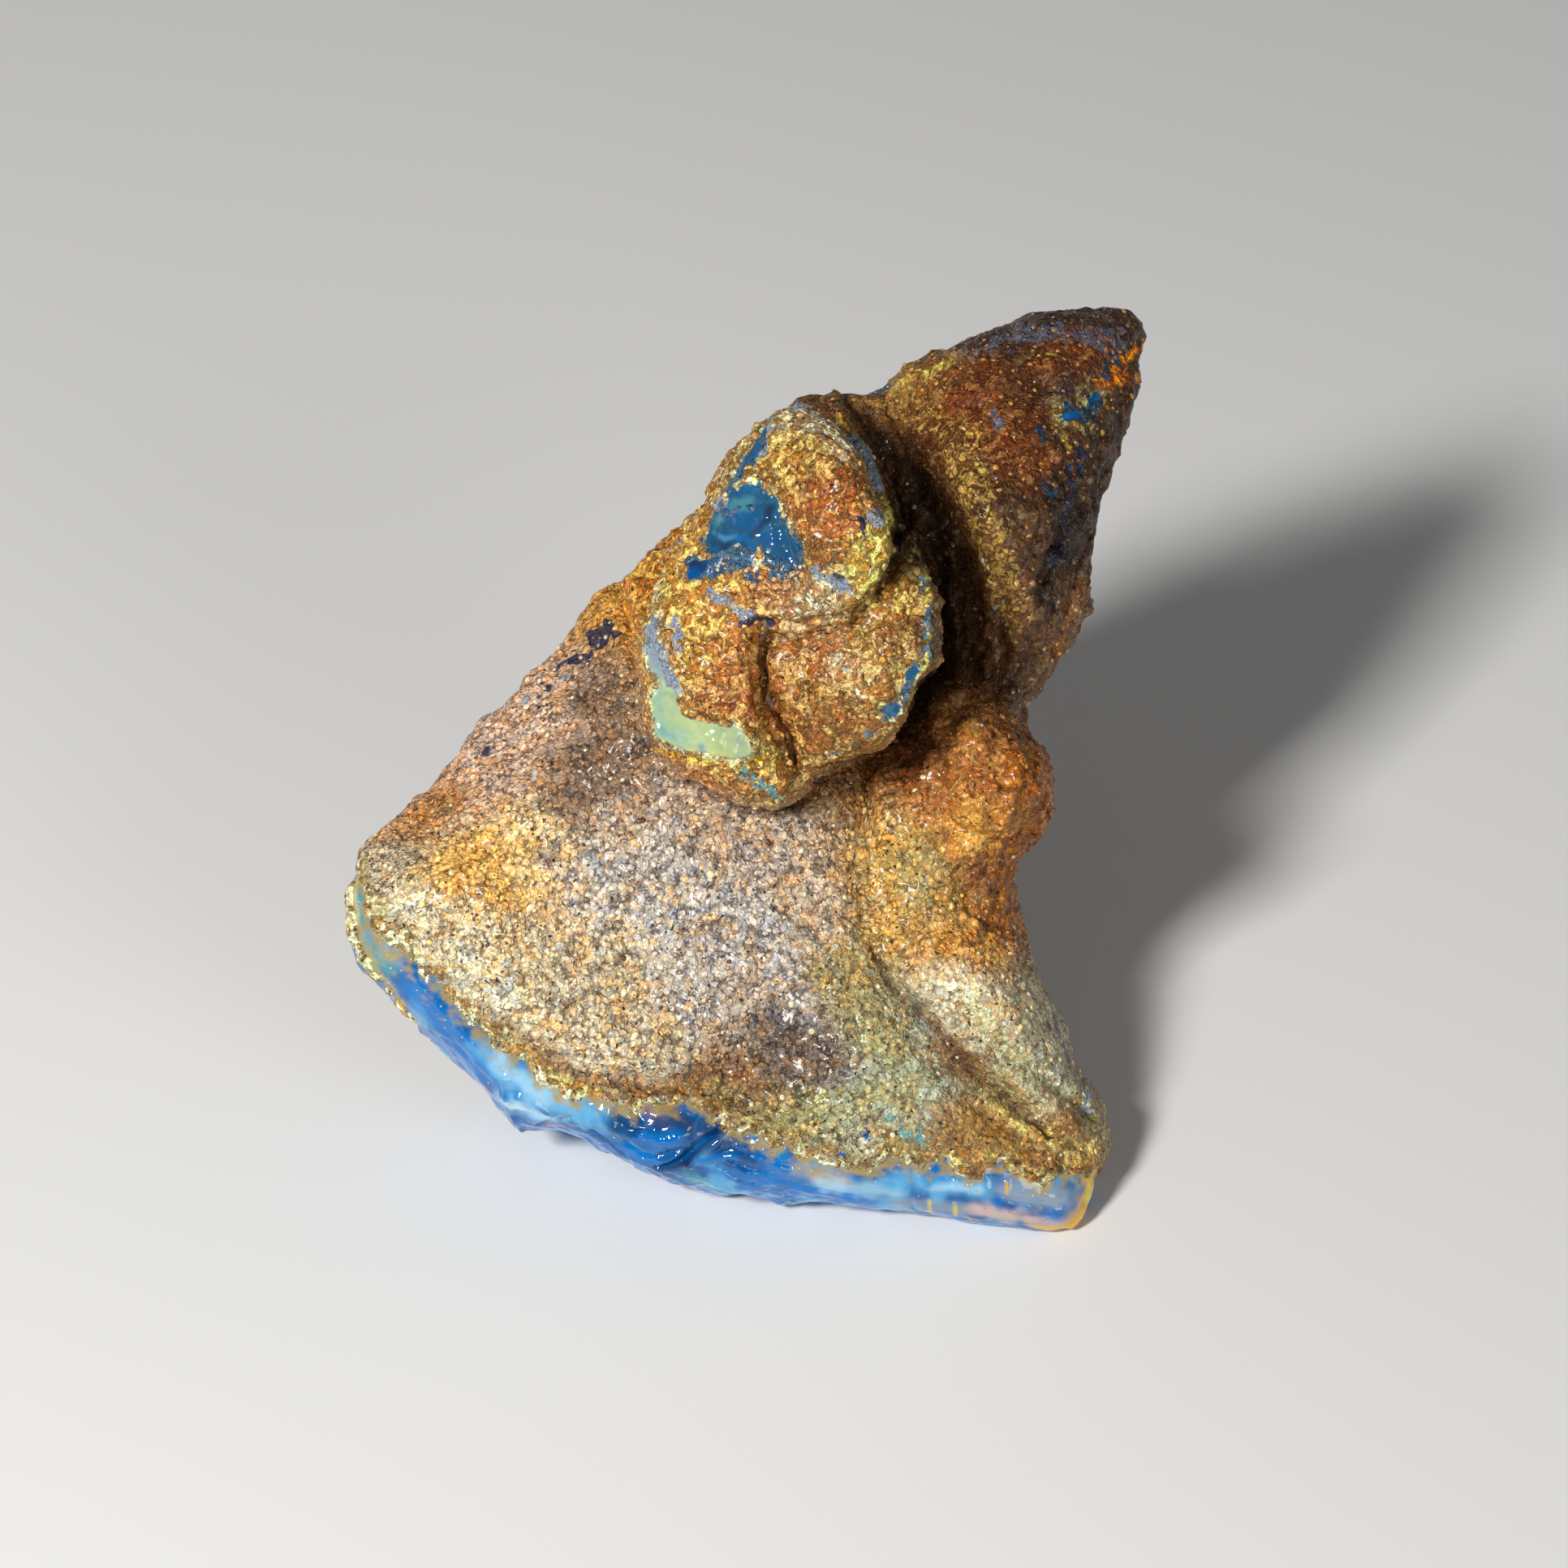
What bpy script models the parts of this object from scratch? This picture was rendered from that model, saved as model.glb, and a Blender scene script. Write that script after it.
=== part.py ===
"""A rough nodule of blue amber: one natural piece that lies on the flat part of its underside.

The piece is shaped on the drawing board first. X runs to the right across its broad face, Y runs up
the face, and Z stands out of it. Every number in the lists below is in millimetres there. Then the
whole piece is leaned back to the way it lies, and the part that would sink into the ground is cut off.
"""
import math

import bmesh
import bpy
import numpy as np
from mathutils import Matrix, Vector
from mathutils.geometry import delaunay_2d_cdt

MM = 0.001
LEAN = math.radians(52.0)  # the turn about X that brings the face from lying level to how it rests
REST_DEPTH = 24.2 * MM  # how far the ground is below the drawing board's origin, once leaned
SPACING = 0.7  # distance between the points that the skins are made of
CLEARANCE = 0.6 * SPACING  # the least distance from the outline to a point inside it
CURVE_STEPS = 12  # straight steps on the curve from one point of an outline to the next
EDGE = 4.5  # how far in from the outline the body reaches its full thickness
LOBE_EDGE = 2.2  # the same for the lobes of the knob
THINNEST = 1.0  # the least that a front and a back stand apart
VOXEL = 0.75 * MM  # cell size when the body and the lobes are blended into one skin
SMOOTHING = 3  # passes that soften the blended skin
SOFTENING = 0.5  # how far each pass moves a point toward its neighbours' middle
TRIANGLES = 7600  # about as many as the finished skin has
SNAP = 0.12 * MM  # points this close to the ground are put on it before the cut
SAME_PLACE = 1e-7  # in metres, points nearer than this are one point
ON_OUTLINE = 1e-4  # a point nearer the outline than this is on it

BODY_OUTLINE = [
    (25.0, 32.8), (25.1, 30.2), (24.9, 27.8), (24.2, 25.0), (22.4, 20.6), (21.6, 16.8), (20.6, 11.5),
    (18.8, 8.0), (17.3, 6.6), (16.5, 4.2), (17.8, 2.4), (18.6, 0.0), (17.7, -3.2), (16.3, -5.0),
    (15.9, -6.9), (16.2, -9.6), (17.2, -12.5), (18.8, -16.2), (19.9, -19.4), (21.6, -21.3),
    (22.3, -24.6), (21.5, -27.4), (20.8, -29.8), (19.1, -31.0), (15.6, -30.8), (10.7, -30.0),
    (5.2, -29.2), (-0.3, -28.6), (-4.7, -28.1), (-9.2, -26.9), (-12.7, -25.2), (-15.4, -23.9),
    (-18.4, -23.5), (-19.9, -21.9), (-23.2, -18.6), (-26.8, -14.6), (-29.3, -12.6), (-30.1, -9.2),
    (-29.7, -6.2), (-28.6, -4.0), (-24.3, -0.1), (-19.6, 5.7), (-15.6, 9.6), (-12.5, 13.5),
    (-7.1, 17.7), (-3.2, 22.6), (-0.4, 25.5), (1.9, 26.8), (5.8, 27.2), (9.5, 29.4), (13.0, 30.9),
    (16.4, 32.2), (19.3, 33.2), (22.7, 33.4), (24.4, 33.3),
]

# Where the front and the back of the body lie: across, up, front height, back height.
BODY_STATIONS = [
    (-28.0, -8.0, 3.0, -5.0), (-22.5, -7.5, 4.2, -11.0), (-23.0, -14.5, 4.6, -8.0),
    (-18.0, -20.5, 4.6, -12.5), (-9.5, -24.0, 4.6, -13.0), (0.0, -25.5, 4.4, -13.0),
    (10.0, -27.0, 3.6, -11.0), (19.0, -27.0, 2.8, -8.5), (20.5, -21.5, 1.6, -11.0),
    (17.0, -13.5, 1.6, -12.0), (15.0, -6.5, 1.8, -12.5), (17.0, 0.0, 3.4, -11.0),
    (15.0, 5.8, 0.4, -11.5), (-3.5, -10.0, 3.0, -24.5), (-4.0, -18.5, 2.8, -20.0),
    (10.0, -18.5, 3.8, -18.0), (5.0, -9.0, 2.2, -24.0), (-1.0, -3.0, 2.0, -26.0),
    (11.5, 0.5, 2.6, -18.0), (-14.0, -8.0, 3.2, -20.0), (-19.0, -1.0, 2.6, -12.0),
    (-22.5, 0.5, 0.5, -8.0), (-15.0, 8.0, -0.5, -10.0), (-7.0, 16.0, -0.5, -12.0),
    (-2.0, 22.5, 1.0, -11.0), (-8.0, 5.0, 3.0, -22.0), (-1.0, 10.0, 5.0, -22.5),
    (2.0, 20.0, 4.0, -15.5), (6.5, 25.5, -3.5, -12.0), (9.0, 14.6, -1.5, -17.0),
    (9.6, 5.8, -0.6, -19.0), (14.5, 17.5, 2.4, -13.0), (20.5, 14.5, -1.0, -8.0),
    (15.5, 24.5, 0.2, -11.5), (19.5, 28.0, -3.0, -11.0), (23.2, 31.0, -6.5, -11.0),
    (13.0, 29.0, -3.6, -10.5), (23.3, 24.5, -4.0, -9.0),
]

# Long hollows and swellings of the face: how high, how wide, and the line that each follows.
BODY_RELIEF = [
    (-3.4, 2.8, [(7.0, 24.5), (8.8, 19.0), (10.3, 13.0), (10.6, 8.0), (9.0, 4.5), (6.0, 2.0)]),
    (-2.2, 3.6, [(-26.0, -1.6), (-19.5, 4.0), (-14.0, 9.5), (-8.5, 15.5)]),
    (-1.6, 1.8, [(5.2, -1.5), (7.0, -9.0), (9.5, -16.0), (14.5, -21.5), (20.0, -24.5)]),
    (1.5, 2.6, [(9.5, -11.5), (14.0, -14.5), (18.0, -18.5)]),
    (-1.1, 1.6, [(-22.5, -10.5), (-19.5, -15.5), (-15.0, -19.0), (-9.5, -20.5)]),
    (1.6, 2.4, [(12.0, 20.0), (14.5, 16.5), (15.0, 12.5)]),
    (1.8, 2.2, [(15.5, 1.0), (14.5, -2.0)]),
]

# The same for the back, where a positive height is a hollow.
BACK_RELIEF = [
    (3.0, 4.0, [(-14.0, 4.0), (-9.0, -4.0), (-7.0, -12.0)]),
    (-2.2, 3.2, [(-1.0, 12.0), (1.5, 4.0), (-1.0, -6.0)]),
    (2.4, 3.6, [(9.0, 16.0), (8.0, 6.0), (9.0, -4.0)]),
    (-1.6, 2.8, [(15.0, 24.0), (15.5, 14.0), (13.5, 4.0)]),
    (1.8, 3.0, [(2.0, 22.0), (6.0, 24.0)]),
]

UPPER_LOBE = [
    (2.2, 24.6), (3.4, 24.2), (4.6, 22.3), (5.7, 19.7), (7.0, 17.2), (6.9, 15.4), (6.1, 13.6),
    (5.1, 12.3), (4.1, 10.9), (2.4, 10.5), (0.4, 10.1), (-0.9, 10.4), (-0.4, 12.2), (0.9, 13.8),
    (0.4, 15.7), (-0.4, 17.2), (-0.6, 19.0), (-0.6, 21.2), (0.2, 22.9),
]
UPPER_LOBE_STATIONS = [
    (3.0, 22.5, 12.2, 2.0), (6.0, 17.0, 13.8, 8.0), (5.0, 13.0, 13.6, 7.0), (2.4, 18.0, 12.6, 2.0),
    (0.4, 17.0, 11.2, 2.0), (0.6, 21.0, 10.6, 2.0), (1.2, 12.0, 12.2, 2.0),
]

LOWER_LOBE = [
    (8.8, 15.6), (9.6, 14.2), (10.0, 12.4), (10.6, 10.8), (10.5, 8.2), (9.3, 7.2), (8.6, 5.2),
    (7.4, 3.6), (5.8, 2.2), (3.1, 1.2), (1.6, 0.4), (0.8, 1.8), (-0.3, 3.6), (-1.4, 5.6),
    (-1.7, 8.0), (-1.0, 10.2), (1.4, 12.4), (5.0, 14.6),
]
LOWER_LOBE_STATIONS = [
    (8.5, 13.0, 9.2, 2.0), (9.6, 9.0, 9.8, 4.0), (5.0, 9.0, 10.4, 0.0), (1.0, 7.0, 8.8, 0.0),
    (7.0, 5.0, 9.6, 3.0), (2.5, 2.6, 8.2, 0.0),
]

LEFT_LOBE = [
    (0.6, 25.4), (3.4, 23.2), (4.6, 17.6), (4.6, 13.0), (5.6, 9.0), (4.4, 5.0), (2.6, 2.0),
    (1.8, -0.4), (0.2, -1.7), (-2.0, -1.6), (-4.6, -0.8), (-7.2, 0.8), (-8.9, 2.4), (-9.5, 4.4),
    (-9.7, 7.8), (-9.7, 10.6), (-8.8, 13.6), (-6.6, 16.8), (-4.6, 20.2), (-2.2, 23.8),
]
LEFT_LOBE_STATIONS = [
    (1.5, 22.0, 8.4, 0.0), (-1.4, 19.0, 9.4, 0.0), (-4.4, 17.0, 7.4, 0.0), (-7.4, 13.0, 6.8, 0.0),
    (-8.8, 8.0, 7.6, 0.0), (-8.2, 4.0, 8.0, 0.0), (-4.0, 7.0, 9.8, 0.0), (-3.0, 2.0, 9.0, 0.0),
    (-0.5, -0.2, 8.0, 0.0), (-1.0, 14.0, 10.2, 0.0), (2.5, 6.0, 6.0, 0.0),
]


def smooth_outline(points):
    """Evenly spaced points on the closed Catmull-Rom curve through the given ones."""
    corners = np.array(points, float)
    before = np.roll(corners, 1, axis=0)
    after = np.roll(corners, -1, axis=0)
    beyond = np.roll(corners, -2, axis=0)
    share = np.linspace(0.0, 1.0, CURVE_STEPS, endpoint=False)[:, None, None]
    curve = 0.5 * (
        2 * corners
        + (after - before) * share
        + (2 * before - 5 * corners + 4 * after - beyond) * share**2
        + (3 * corners - before - 3 * after + beyond) * share**3
    )
    curve = curve.transpose(1, 0, 2).reshape(-1, 2)
    closed = np.vstack([curve, curve[:1]])
    travelled = np.concatenate([[0.0], np.cumsum(np.linalg.norm(np.diff(closed, axis=0), axis=1))])
    stops = np.arange(0.0, travelled[-1] - SPACING / 2, SPACING)
    return np.column_stack([np.interp(stops, travelled, closed[:, axis]) for axis in (0, 1)])


def distance_to_line(places, line):
    """How far each place is from a line of straight steps."""
    nearest = np.full(len(places), np.inf)
    for start, end in zip(line[:-1], line[1:]):
        step = end - start
        share = np.clip((places - start) @ step / (step @ step), 0.0, 1.0)
        nearest = np.minimum(nearest, np.linalg.norm(places - start - share[:, None] * step, axis=1))
    return nearest


def is_inside(places, ring):
    """Which places lie inside a closed ring, by counting the sides that a level line crosses."""
    inside = np.zeros(len(places), bool)
    for (x1, y1), (x2, y2) in zip(ring, np.roll(ring, -1, axis=0)):
        if y1 == y2:
            continue
        crosses = (places[:, 1] > y1) != (places[:, 1] > y2)
        x = x1 + (places[:, 1] - y1) * (x2 - x1) / (y2 - y1)
        inside ^= crosses & (places[:, 0] < x)
    return inside


def lattice(ring):
    """A triangular grid of places inside a ring, none of them close to it."""
    low, high = ring.min(axis=0), ring.max(axis=0)
    rows = np.arange(low[1], high[1], SPACING * math.sqrt(3) / 2)
    columns = np.arange(low[0], high[0], SPACING)
    places = np.array([(x + (i % 2) * SPACING / 2, y) for i, y in enumerate(rows) for x in columns])
    places = places[is_inside(places, ring)]
    return places[distance_to_line(places, np.vstack([ring, ring[:1]])) > CLEARANCE]


def bent_plate(stations, column):
    """The thin-plate surface through one column of the stations, as a function of the places."""
    rows = np.array(stations, float)
    known = rows[:, :2]

    def bending(places):
        apart = np.linalg.norm(places[:, None] - known[None], axis=2)
        return apart**2 * np.log(apart + 1e-9)

    count = len(known)
    level = np.column_stack([np.ones(count), known])
    system = np.block([[bending(known), level], [level.T, np.zeros((3, 3))]])
    weights = np.linalg.solve(system, np.concatenate([rows[:, column], np.zeros(3)]))

    def height(places):
        flat = np.column_stack([np.ones(len(places)), places])
        return bending(places) @ weights[:count] + flat @ weights[count:]

    return height


def relief_height(places, relief):
    """What the hollows and swellings add to the front."""
    total = np.zeros(len(places))
    for height, width, line in relief:
        away = distance_to_line(places, np.array(line, float))
        total += height * np.exp(-((away / width) ** 2))
    return total


def slab(name, outline, stations, edge, relief=(), back_relief=()):
    """A closed solid with this outline, whose front and back pass through the stations."""
    ring = smooth_outline(outline)
    places = np.vstack([ring, lattice(ring)])
    sides = [(i, (i + 1) % len(ring)) for i in range(len(ring))]
    flat, _, faces, _, _, _ = delaunay_2d_cdt([Vector(p) for p in places], sides, [], 1, 1e-6)
    places = np.array([tuple(p) for p in flat])
    inset = distance_to_line(places, np.vstack([ring, ring[:1]]))
    swell = np.sqrt(1.0 - (1.0 - np.clip(inset / edge, 0.0, 1.0)) ** 2)
    swell[inset < ON_OUTLINE] = 0.0
    front = bent_plate(stations, 2)(places) + relief_height(places, relief)
    back = bent_plate(stations, 3)(places) + relief_height(places, back_relief)
    middle = (front + back) / 2
    half = np.maximum(front - back, THINNEST) / 2
    shape = bmesh.new()
    skins = []
    for side in (1, -1):
        heights = middle + side * half * swell
        skins.append([shape.verts.new((x * MM, y * MM, z * MM)) for (x, y), z in zip(places, heights)])
    for face in faces:
        shape.faces.new([skins[0][i] for i in face])
        shape.faces.new([skins[1][i] for i in reversed(face)])
    bmesh.ops.remove_doubles(shape, verts=shape.verts, dist=SAME_PLACE)
    bmesh.ops.recalc_face_normals(shape, faces=shape.faces)
    mesh = bpy.data.meshes.new(name)
    shape.to_mesh(mesh)
    shape.free()
    piece = bpy.data.objects.new(name, mesh)
    bpy.context.scene.collection.objects.link(piece)
    return piece


def apply_modifiers(piece):
    """Keeps what the modifiers make of the piece as its mesh."""
    graph = bpy.context.evaluated_depsgraph_get()
    made = bpy.data.meshes.new_from_object(piece.evaluated_get(graph))
    piece.modifiers.clear()
    piece.data = made


def join(body, lobes):
    """Unites the lobes with the body and blends the seams."""
    for lobe in lobes:
        union = body.modifiers.new("union", "BOOLEAN")
        union.operation = "UNION"
        union.solver = "EXACT"
        union.object = lobe
    blend = body.modifiers.new("blend", "REMESH")
    blend.mode = "VOXEL"
    blend.voxel_size = VOXEL
    soften = body.modifiers.new("soften", "SMOOTH")
    soften.iterations = SMOOTHING
    soften.factor = SOFTENING
    apply_modifiers(body)
    for lobe in lobes:
        bpy.data.objects.remove(lobe)


def thin_out(piece, triangles):
    """Brings the skin down to about this many triangles, the fewest where it is flattest."""
    piece.data.calc_loop_triangles()
    fewer = piece.modifiers.new("fewer", "DECIMATE")
    fewer.ratio = triangles / len(piece.data.loop_triangles)
    fewer.use_collapse_triangulate = True
    apply_modifiers(piece)


def lay_down(piece):
    """Leans the piece back, cuts it flat where it rests and centres it over its origin."""
    shape = bmesh.new()
    shape.from_mesh(piece.data)
    bmesh.ops.transform(shape, matrix=Matrix.Rotation(LEAN, 4, "X"), verts=shape.verts)
    bmesh.ops.translate(shape, vec=(0.0, 0.0, REST_DEPTH), verts=shape.verts)
    for vertex in shape.verts:
        if abs(vertex.co.z) < SNAP:
            vertex.co.z = 0.0
    everything = list(shape.verts) + list(shape.edges) + list(shape.faces)
    down = (0, 0, -1)
    cut = bmesh.ops.bisect_plane(
        shape, geom=everything, dist=SAME_PLACE, plane_co=(0, 0, 0), plane_no=down, clear_outer=True
    )
    loop = [item for item in cut["geom_cut"] if isinstance(item, bmesh.types.BMEdge)]
    bmesh.ops.edgeloop_fill(shape, edges=[edge for edge in loop if edge.is_boundary])
    bmesh.ops.recalc_face_normals(shape, faces=shape.faces)
    low = [min(vertex.co[axis] for vertex in shape.verts) for axis in range(2)]
    high = [max(vertex.co[axis] for vertex in shape.verts) for axis in range(2)]
    centre = Vector(((low[0] + high[0]) / 2, (low[1] + high[1]) / 2, 0.0))
    bmesh.ops.translate(shape, vec=-centre, verts=shape.verts)
    shape.to_mesh(piece.data)
    shape.free()


def amber_material():
    """Sand-brown crust over amber, as one plain finish."""
    material = bpy.data.materials.new("crusted_amber")
    material.use_nodes = True
    shader = material.node_tree.nodes["Principled BSDF"]
    shader.inputs["Base Color"].default_value = (0.42, 0.25, 0.10, 1.0)
    shader.inputs["Roughness"].default_value = 0.45
    shader.inputs["Metallic"].default_value = 0.0
    return material


def main():
    for thing in list(bpy.data.objects):
        bpy.data.objects.remove(thing)
    amber = slab("blue_amber", BODY_OUTLINE, BODY_STATIONS, EDGE, BODY_RELIEF, BACK_RELIEF)
    lobes = [
        slab("left_lobe", LEFT_LOBE, LEFT_LOBE_STATIONS, LOBE_EDGE),
        slab("lower_lobe", LOWER_LOBE, LOWER_LOBE_STATIONS, LOBE_EDGE),
        slab("upper_lobe", UPPER_LOBE, UPPER_LOBE_STATIONS, LOBE_EDGE),
    ]
    join(amber, lobes)
    thin_out(amber, TRIANGLES)
    lay_down(amber)
    amber.data.materials.clear()
    amber.data.materials.append(amber_material())
    amber.data.shade_smooth()


main()
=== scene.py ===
# %% [markdown]
# # A rough nodule of blue amber
# Blue amber is fossil resin that glows blue where light strikes a bare, glossy surface, and is honey
# brown where light passes through it. This lump was buried in sand, so most of it wears a thin crust of
# sand and weathered resin. We build it in layers, as nature did: the resin lump first, then the crust
# with its ragged edge, then the loose grains that are half sunk in it.

# %% Load the frame
import math

import bpy
import numpy as np
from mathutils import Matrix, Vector
from mathutils.bvhtree import BVHTree


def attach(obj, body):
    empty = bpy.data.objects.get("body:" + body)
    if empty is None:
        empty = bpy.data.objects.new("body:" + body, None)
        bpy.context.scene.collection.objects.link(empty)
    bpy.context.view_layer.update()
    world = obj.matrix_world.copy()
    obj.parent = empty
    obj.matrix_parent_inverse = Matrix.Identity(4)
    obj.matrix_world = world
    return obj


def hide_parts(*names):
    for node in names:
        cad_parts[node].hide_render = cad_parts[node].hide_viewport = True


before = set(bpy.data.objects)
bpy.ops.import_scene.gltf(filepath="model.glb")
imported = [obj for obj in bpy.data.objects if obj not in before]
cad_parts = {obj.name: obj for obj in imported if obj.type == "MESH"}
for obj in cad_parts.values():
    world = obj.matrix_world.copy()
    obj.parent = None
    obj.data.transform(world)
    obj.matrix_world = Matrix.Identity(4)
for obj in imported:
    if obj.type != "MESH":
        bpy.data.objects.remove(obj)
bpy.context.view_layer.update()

# %% [markdown]
# ## Where the picture looks from
# The broad face leans back by 52 degrees, and the camera looks straight at it. It helps to have a
# drawing board that lies in that face: across it, up it, and out of it toward the camera. One pixel of
# the picture is 0.055 mm on the board, so a place in the picture becomes a ray from the camera, and
# the ray finds the place on the lump. Every feature below is put down in that way, as on a photograph
# that lies over the drawing, and it stays on the surface from any side.

# %% The drawing board and the camera
MM = 0.001
LEAN = math.radians(52.0)
BOARD = np.array([2.59, -4.19, 24.2]) * MM
ACROSS = np.array([1.0, 0.0, 0.0])
UP_FACE = np.array([0.0, math.cos(LEAN), math.sin(LEAN)])
OUT_OF_FACE = np.array([0.0, -math.sin(LEAN), math.cos(LEAN)])
PICTURE = 1932
PIXEL = 0.055 * MM
CAMERA_AWAY = 0.4
EYE = BOARD + CAMERA_AWAY * OUT_OF_FACE

scene = bpy.context.scene
bpy.ops.object.select_all(action="DESELECT")
bpy.ops.object.camera_add(location=EYE, rotation=(LEAN, 0.0, 0.0))
camera = bpy.context.object
camera.name = "camera"
camera.data.sensor_width = 36.0
camera.data.lens = camera.data.sensor_width * CAMERA_AWAY / (PICTURE * PIXEL)
camera.data.clip_start = 0.01
scene.camera = camera
print("lens", round(camera.data.lens, 1), "mm")

# %% [markdown]
# ## The skin of the lump
# The CAD solid is a few thousand flat triangles. A copy of it is merged, wrapped in an even skin by a
# voxel remesh, smoothed so that its facets go, and subdivided once. That gives quads of 0.2 mm, fine
# enough for folds, creases and pits. The resin and the crust are both cut from this one skin, so they
# fit each other everywhere.

# %% Make the skin
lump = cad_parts["blue_amber"]
SKIN_CELL = 0.5 * MM
SKIN_PASSES = 12


def make_active(piece):
    """Selects this piece alone, for the operators."""
    bpy.ops.object.select_all(action="DESELECT")
    piece.select_set(True)
    bpy.context.view_layer.objects.active = piece


def apply_modifier(piece, kind, **settings):
    """Adds a modifier, sets it and applies it."""
    make_active(piece)
    bpy.ops.object.modifier_add(type=kind)
    modifier = piece.modifiers[-1]
    for name, value in settings.items():
        setattr(modifier, name, value)
    bpy.ops.object.modifier_apply(modifier=modifier.name)


skin = bpy.data.objects.new("skin", lump.data.copy())
scene.collection.objects.link(skin)
make_active(skin)
bpy.ops.object.mode_set(mode="EDIT")
bpy.ops.mesh.select_all(action="SELECT")
bpy.ops.mesh.remove_doubles(threshold=0.001 * MM)
bpy.ops.object.mode_set(mode="OBJECT")
apply_modifier(skin, "REMESH", mode="VOXEL", voxel_size=SKIN_CELL)
apply_modifier(skin, "SMOOTH", factor=0.5, iterations=SKIN_PASSES)
apply_modifier(skin, "SUBSURF", levels=1, render_levels=1)
print("the skin has", len(skin.data.polygons), "faces")

# %% [markdown]
# ## Finding places on it
# These helpers read and write a piece's points as arrays, turn picture places into places on the skin,
# and measure how far each point is from a line of such places. Distances are in millimetres, because
# that is how one thinks about a stone of this size.

# %% Helpers for points and places
def points_of(piece):
    """The piece's points, in metres."""
    flat = np.empty(len(piece.data.vertices) * 3)
    piece.data.vertices.foreach_get("co", flat)
    return flat.reshape(-1, 3)


def normals_of(piece):
    """Which way the surface faces at each point."""
    flat = np.empty(len(piece.data.vertices) * 3)
    piece.data.vertex_normals.foreach_get("vector", flat)
    return flat.reshape(-1, 3)


def move_points(piece, places):
    """Puts the piece's points at these places, none of them below the ground."""
    places = np.array(places)
    places[:, 2] = np.maximum(places[:, 2], 0.0)
    piece.data.vertices.foreach_set("co", places.ravel())
    piece.data.update()


def picture_places(points):
    """Where the camera sees each point, in pixels of the picture."""
    away = points - EYE
    depth = -(away @ OUT_OF_FACE)
    scale = CAMERA_AWAY / depth / PIXEL
    return np.column_stack([PICTURE / 2 + away @ ACROSS * scale, PICTURE / 2 - away @ UP_FACE * scale])


def tree_of(piece):
    """The piece's faces, sorted so that rays find them quickly."""
    mesh = piece.data
    return BVHTree.FromPolygons([point.co for point in mesh.vertices], [face.vertices for face in mesh.polygons])


surface = tree_of(skin)


def on_surface(places, tree=None):
    """The places on the lump, or on this tree of faces, that these picture places show, in metres."""
    tree = tree or surface
    found = []
    for x, y in places:
        aim = BOARD + ((x - PICTURE / 2) * ACROSS - (y - PICTURE / 2) * UP_FACE) * PIXEL
        hit, _, _, _ = tree.ray_cast(Vector(EYE), Vector(aim - EYE).normalized())
        if hit is None:
            hit, _, _, _ = tree.find_nearest(Vector(aim))
        found.append(hit)
    return np.array(found)


def distance_to(points, line):
    """How far each point is from the line, in millimetres, or a large number where that is far."""
    far = np.full(len(points), 99.0)
    low = line.min(axis=0) - 6.0 * MM
    high = line.max(axis=0) + 6.0 * MM
    near = np.flatnonzero(((points > low) & (points < high)).all(axis=1))
    here = points[near]
    best = np.full(len(near), 99.0 * MM)
    if len(line) == 1:
        best = np.linalg.norm(here - line[0], axis=1)
    for start, end in zip(line[:-1], line[1:]):
        step = end - start
        share = np.clip((here - start) @ step / max(step @ step, 1e-12), 0.0, 1.0)
        best = np.minimum(best, np.linalg.norm(here - start - share[:, None] * step, axis=1))
    far[near] = best / MM
    return far


def ramp(low, high, values):
    """Rises smoothly from 0 at low to 1 at high."""
    share = np.clip((values - low) / (high - low), 0.0, 1.0)
    return share * share * (3.0 - 2.0 * share)


# %% [markdown]
# Nothing in nature is even, so many steps need a smooth, random, repeatable variation. A sum of waves
# that run in random directions does it: it is quick on arrays, and the same seed gives the same stone.

# %% A smooth random variation
WAVES = 28


def variation(points, size, seed, octaves=1):
    """A smooth field of about -1 to 1, whose swells are this many millimetres wide."""
    draw = np.random.default_rng(seed)
    total = np.zeros(len(points))
    strength = 0.0
    for octave in range(octaves):
        ways = draw.normal(size=(WAVES, 3))
        ways /= np.linalg.norm(ways, axis=1)[:, None]
        lengths = size / 2**octave * draw.uniform(0.8, 1.5, WAVES) * MM
        phases = draw.uniform(0.0, 2 * math.pi, WAVES)
        waves = np.cos(points @ (ways * (2 * math.pi / lengths)[:, None]).T + phases).sum(axis=1)
        total += waves / math.sqrt(WAVES / 2) * 0.6**octave
        strength += 0.6**octave
    return total / strength / 1.4


# %% [markdown]
# ## Folds and hollows
# The knob's lips, the groove between its lobes, the wrinkles of the deep hollow and the creases at the
# lower right are pushed into the skin along lines that are read off the picture. Each stroke has a
# height, a width and the line that it follows. A broad, gentle variation goes over everything, with
# more of it at the back, where the lump is rough and nobody has brushed it.

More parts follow.
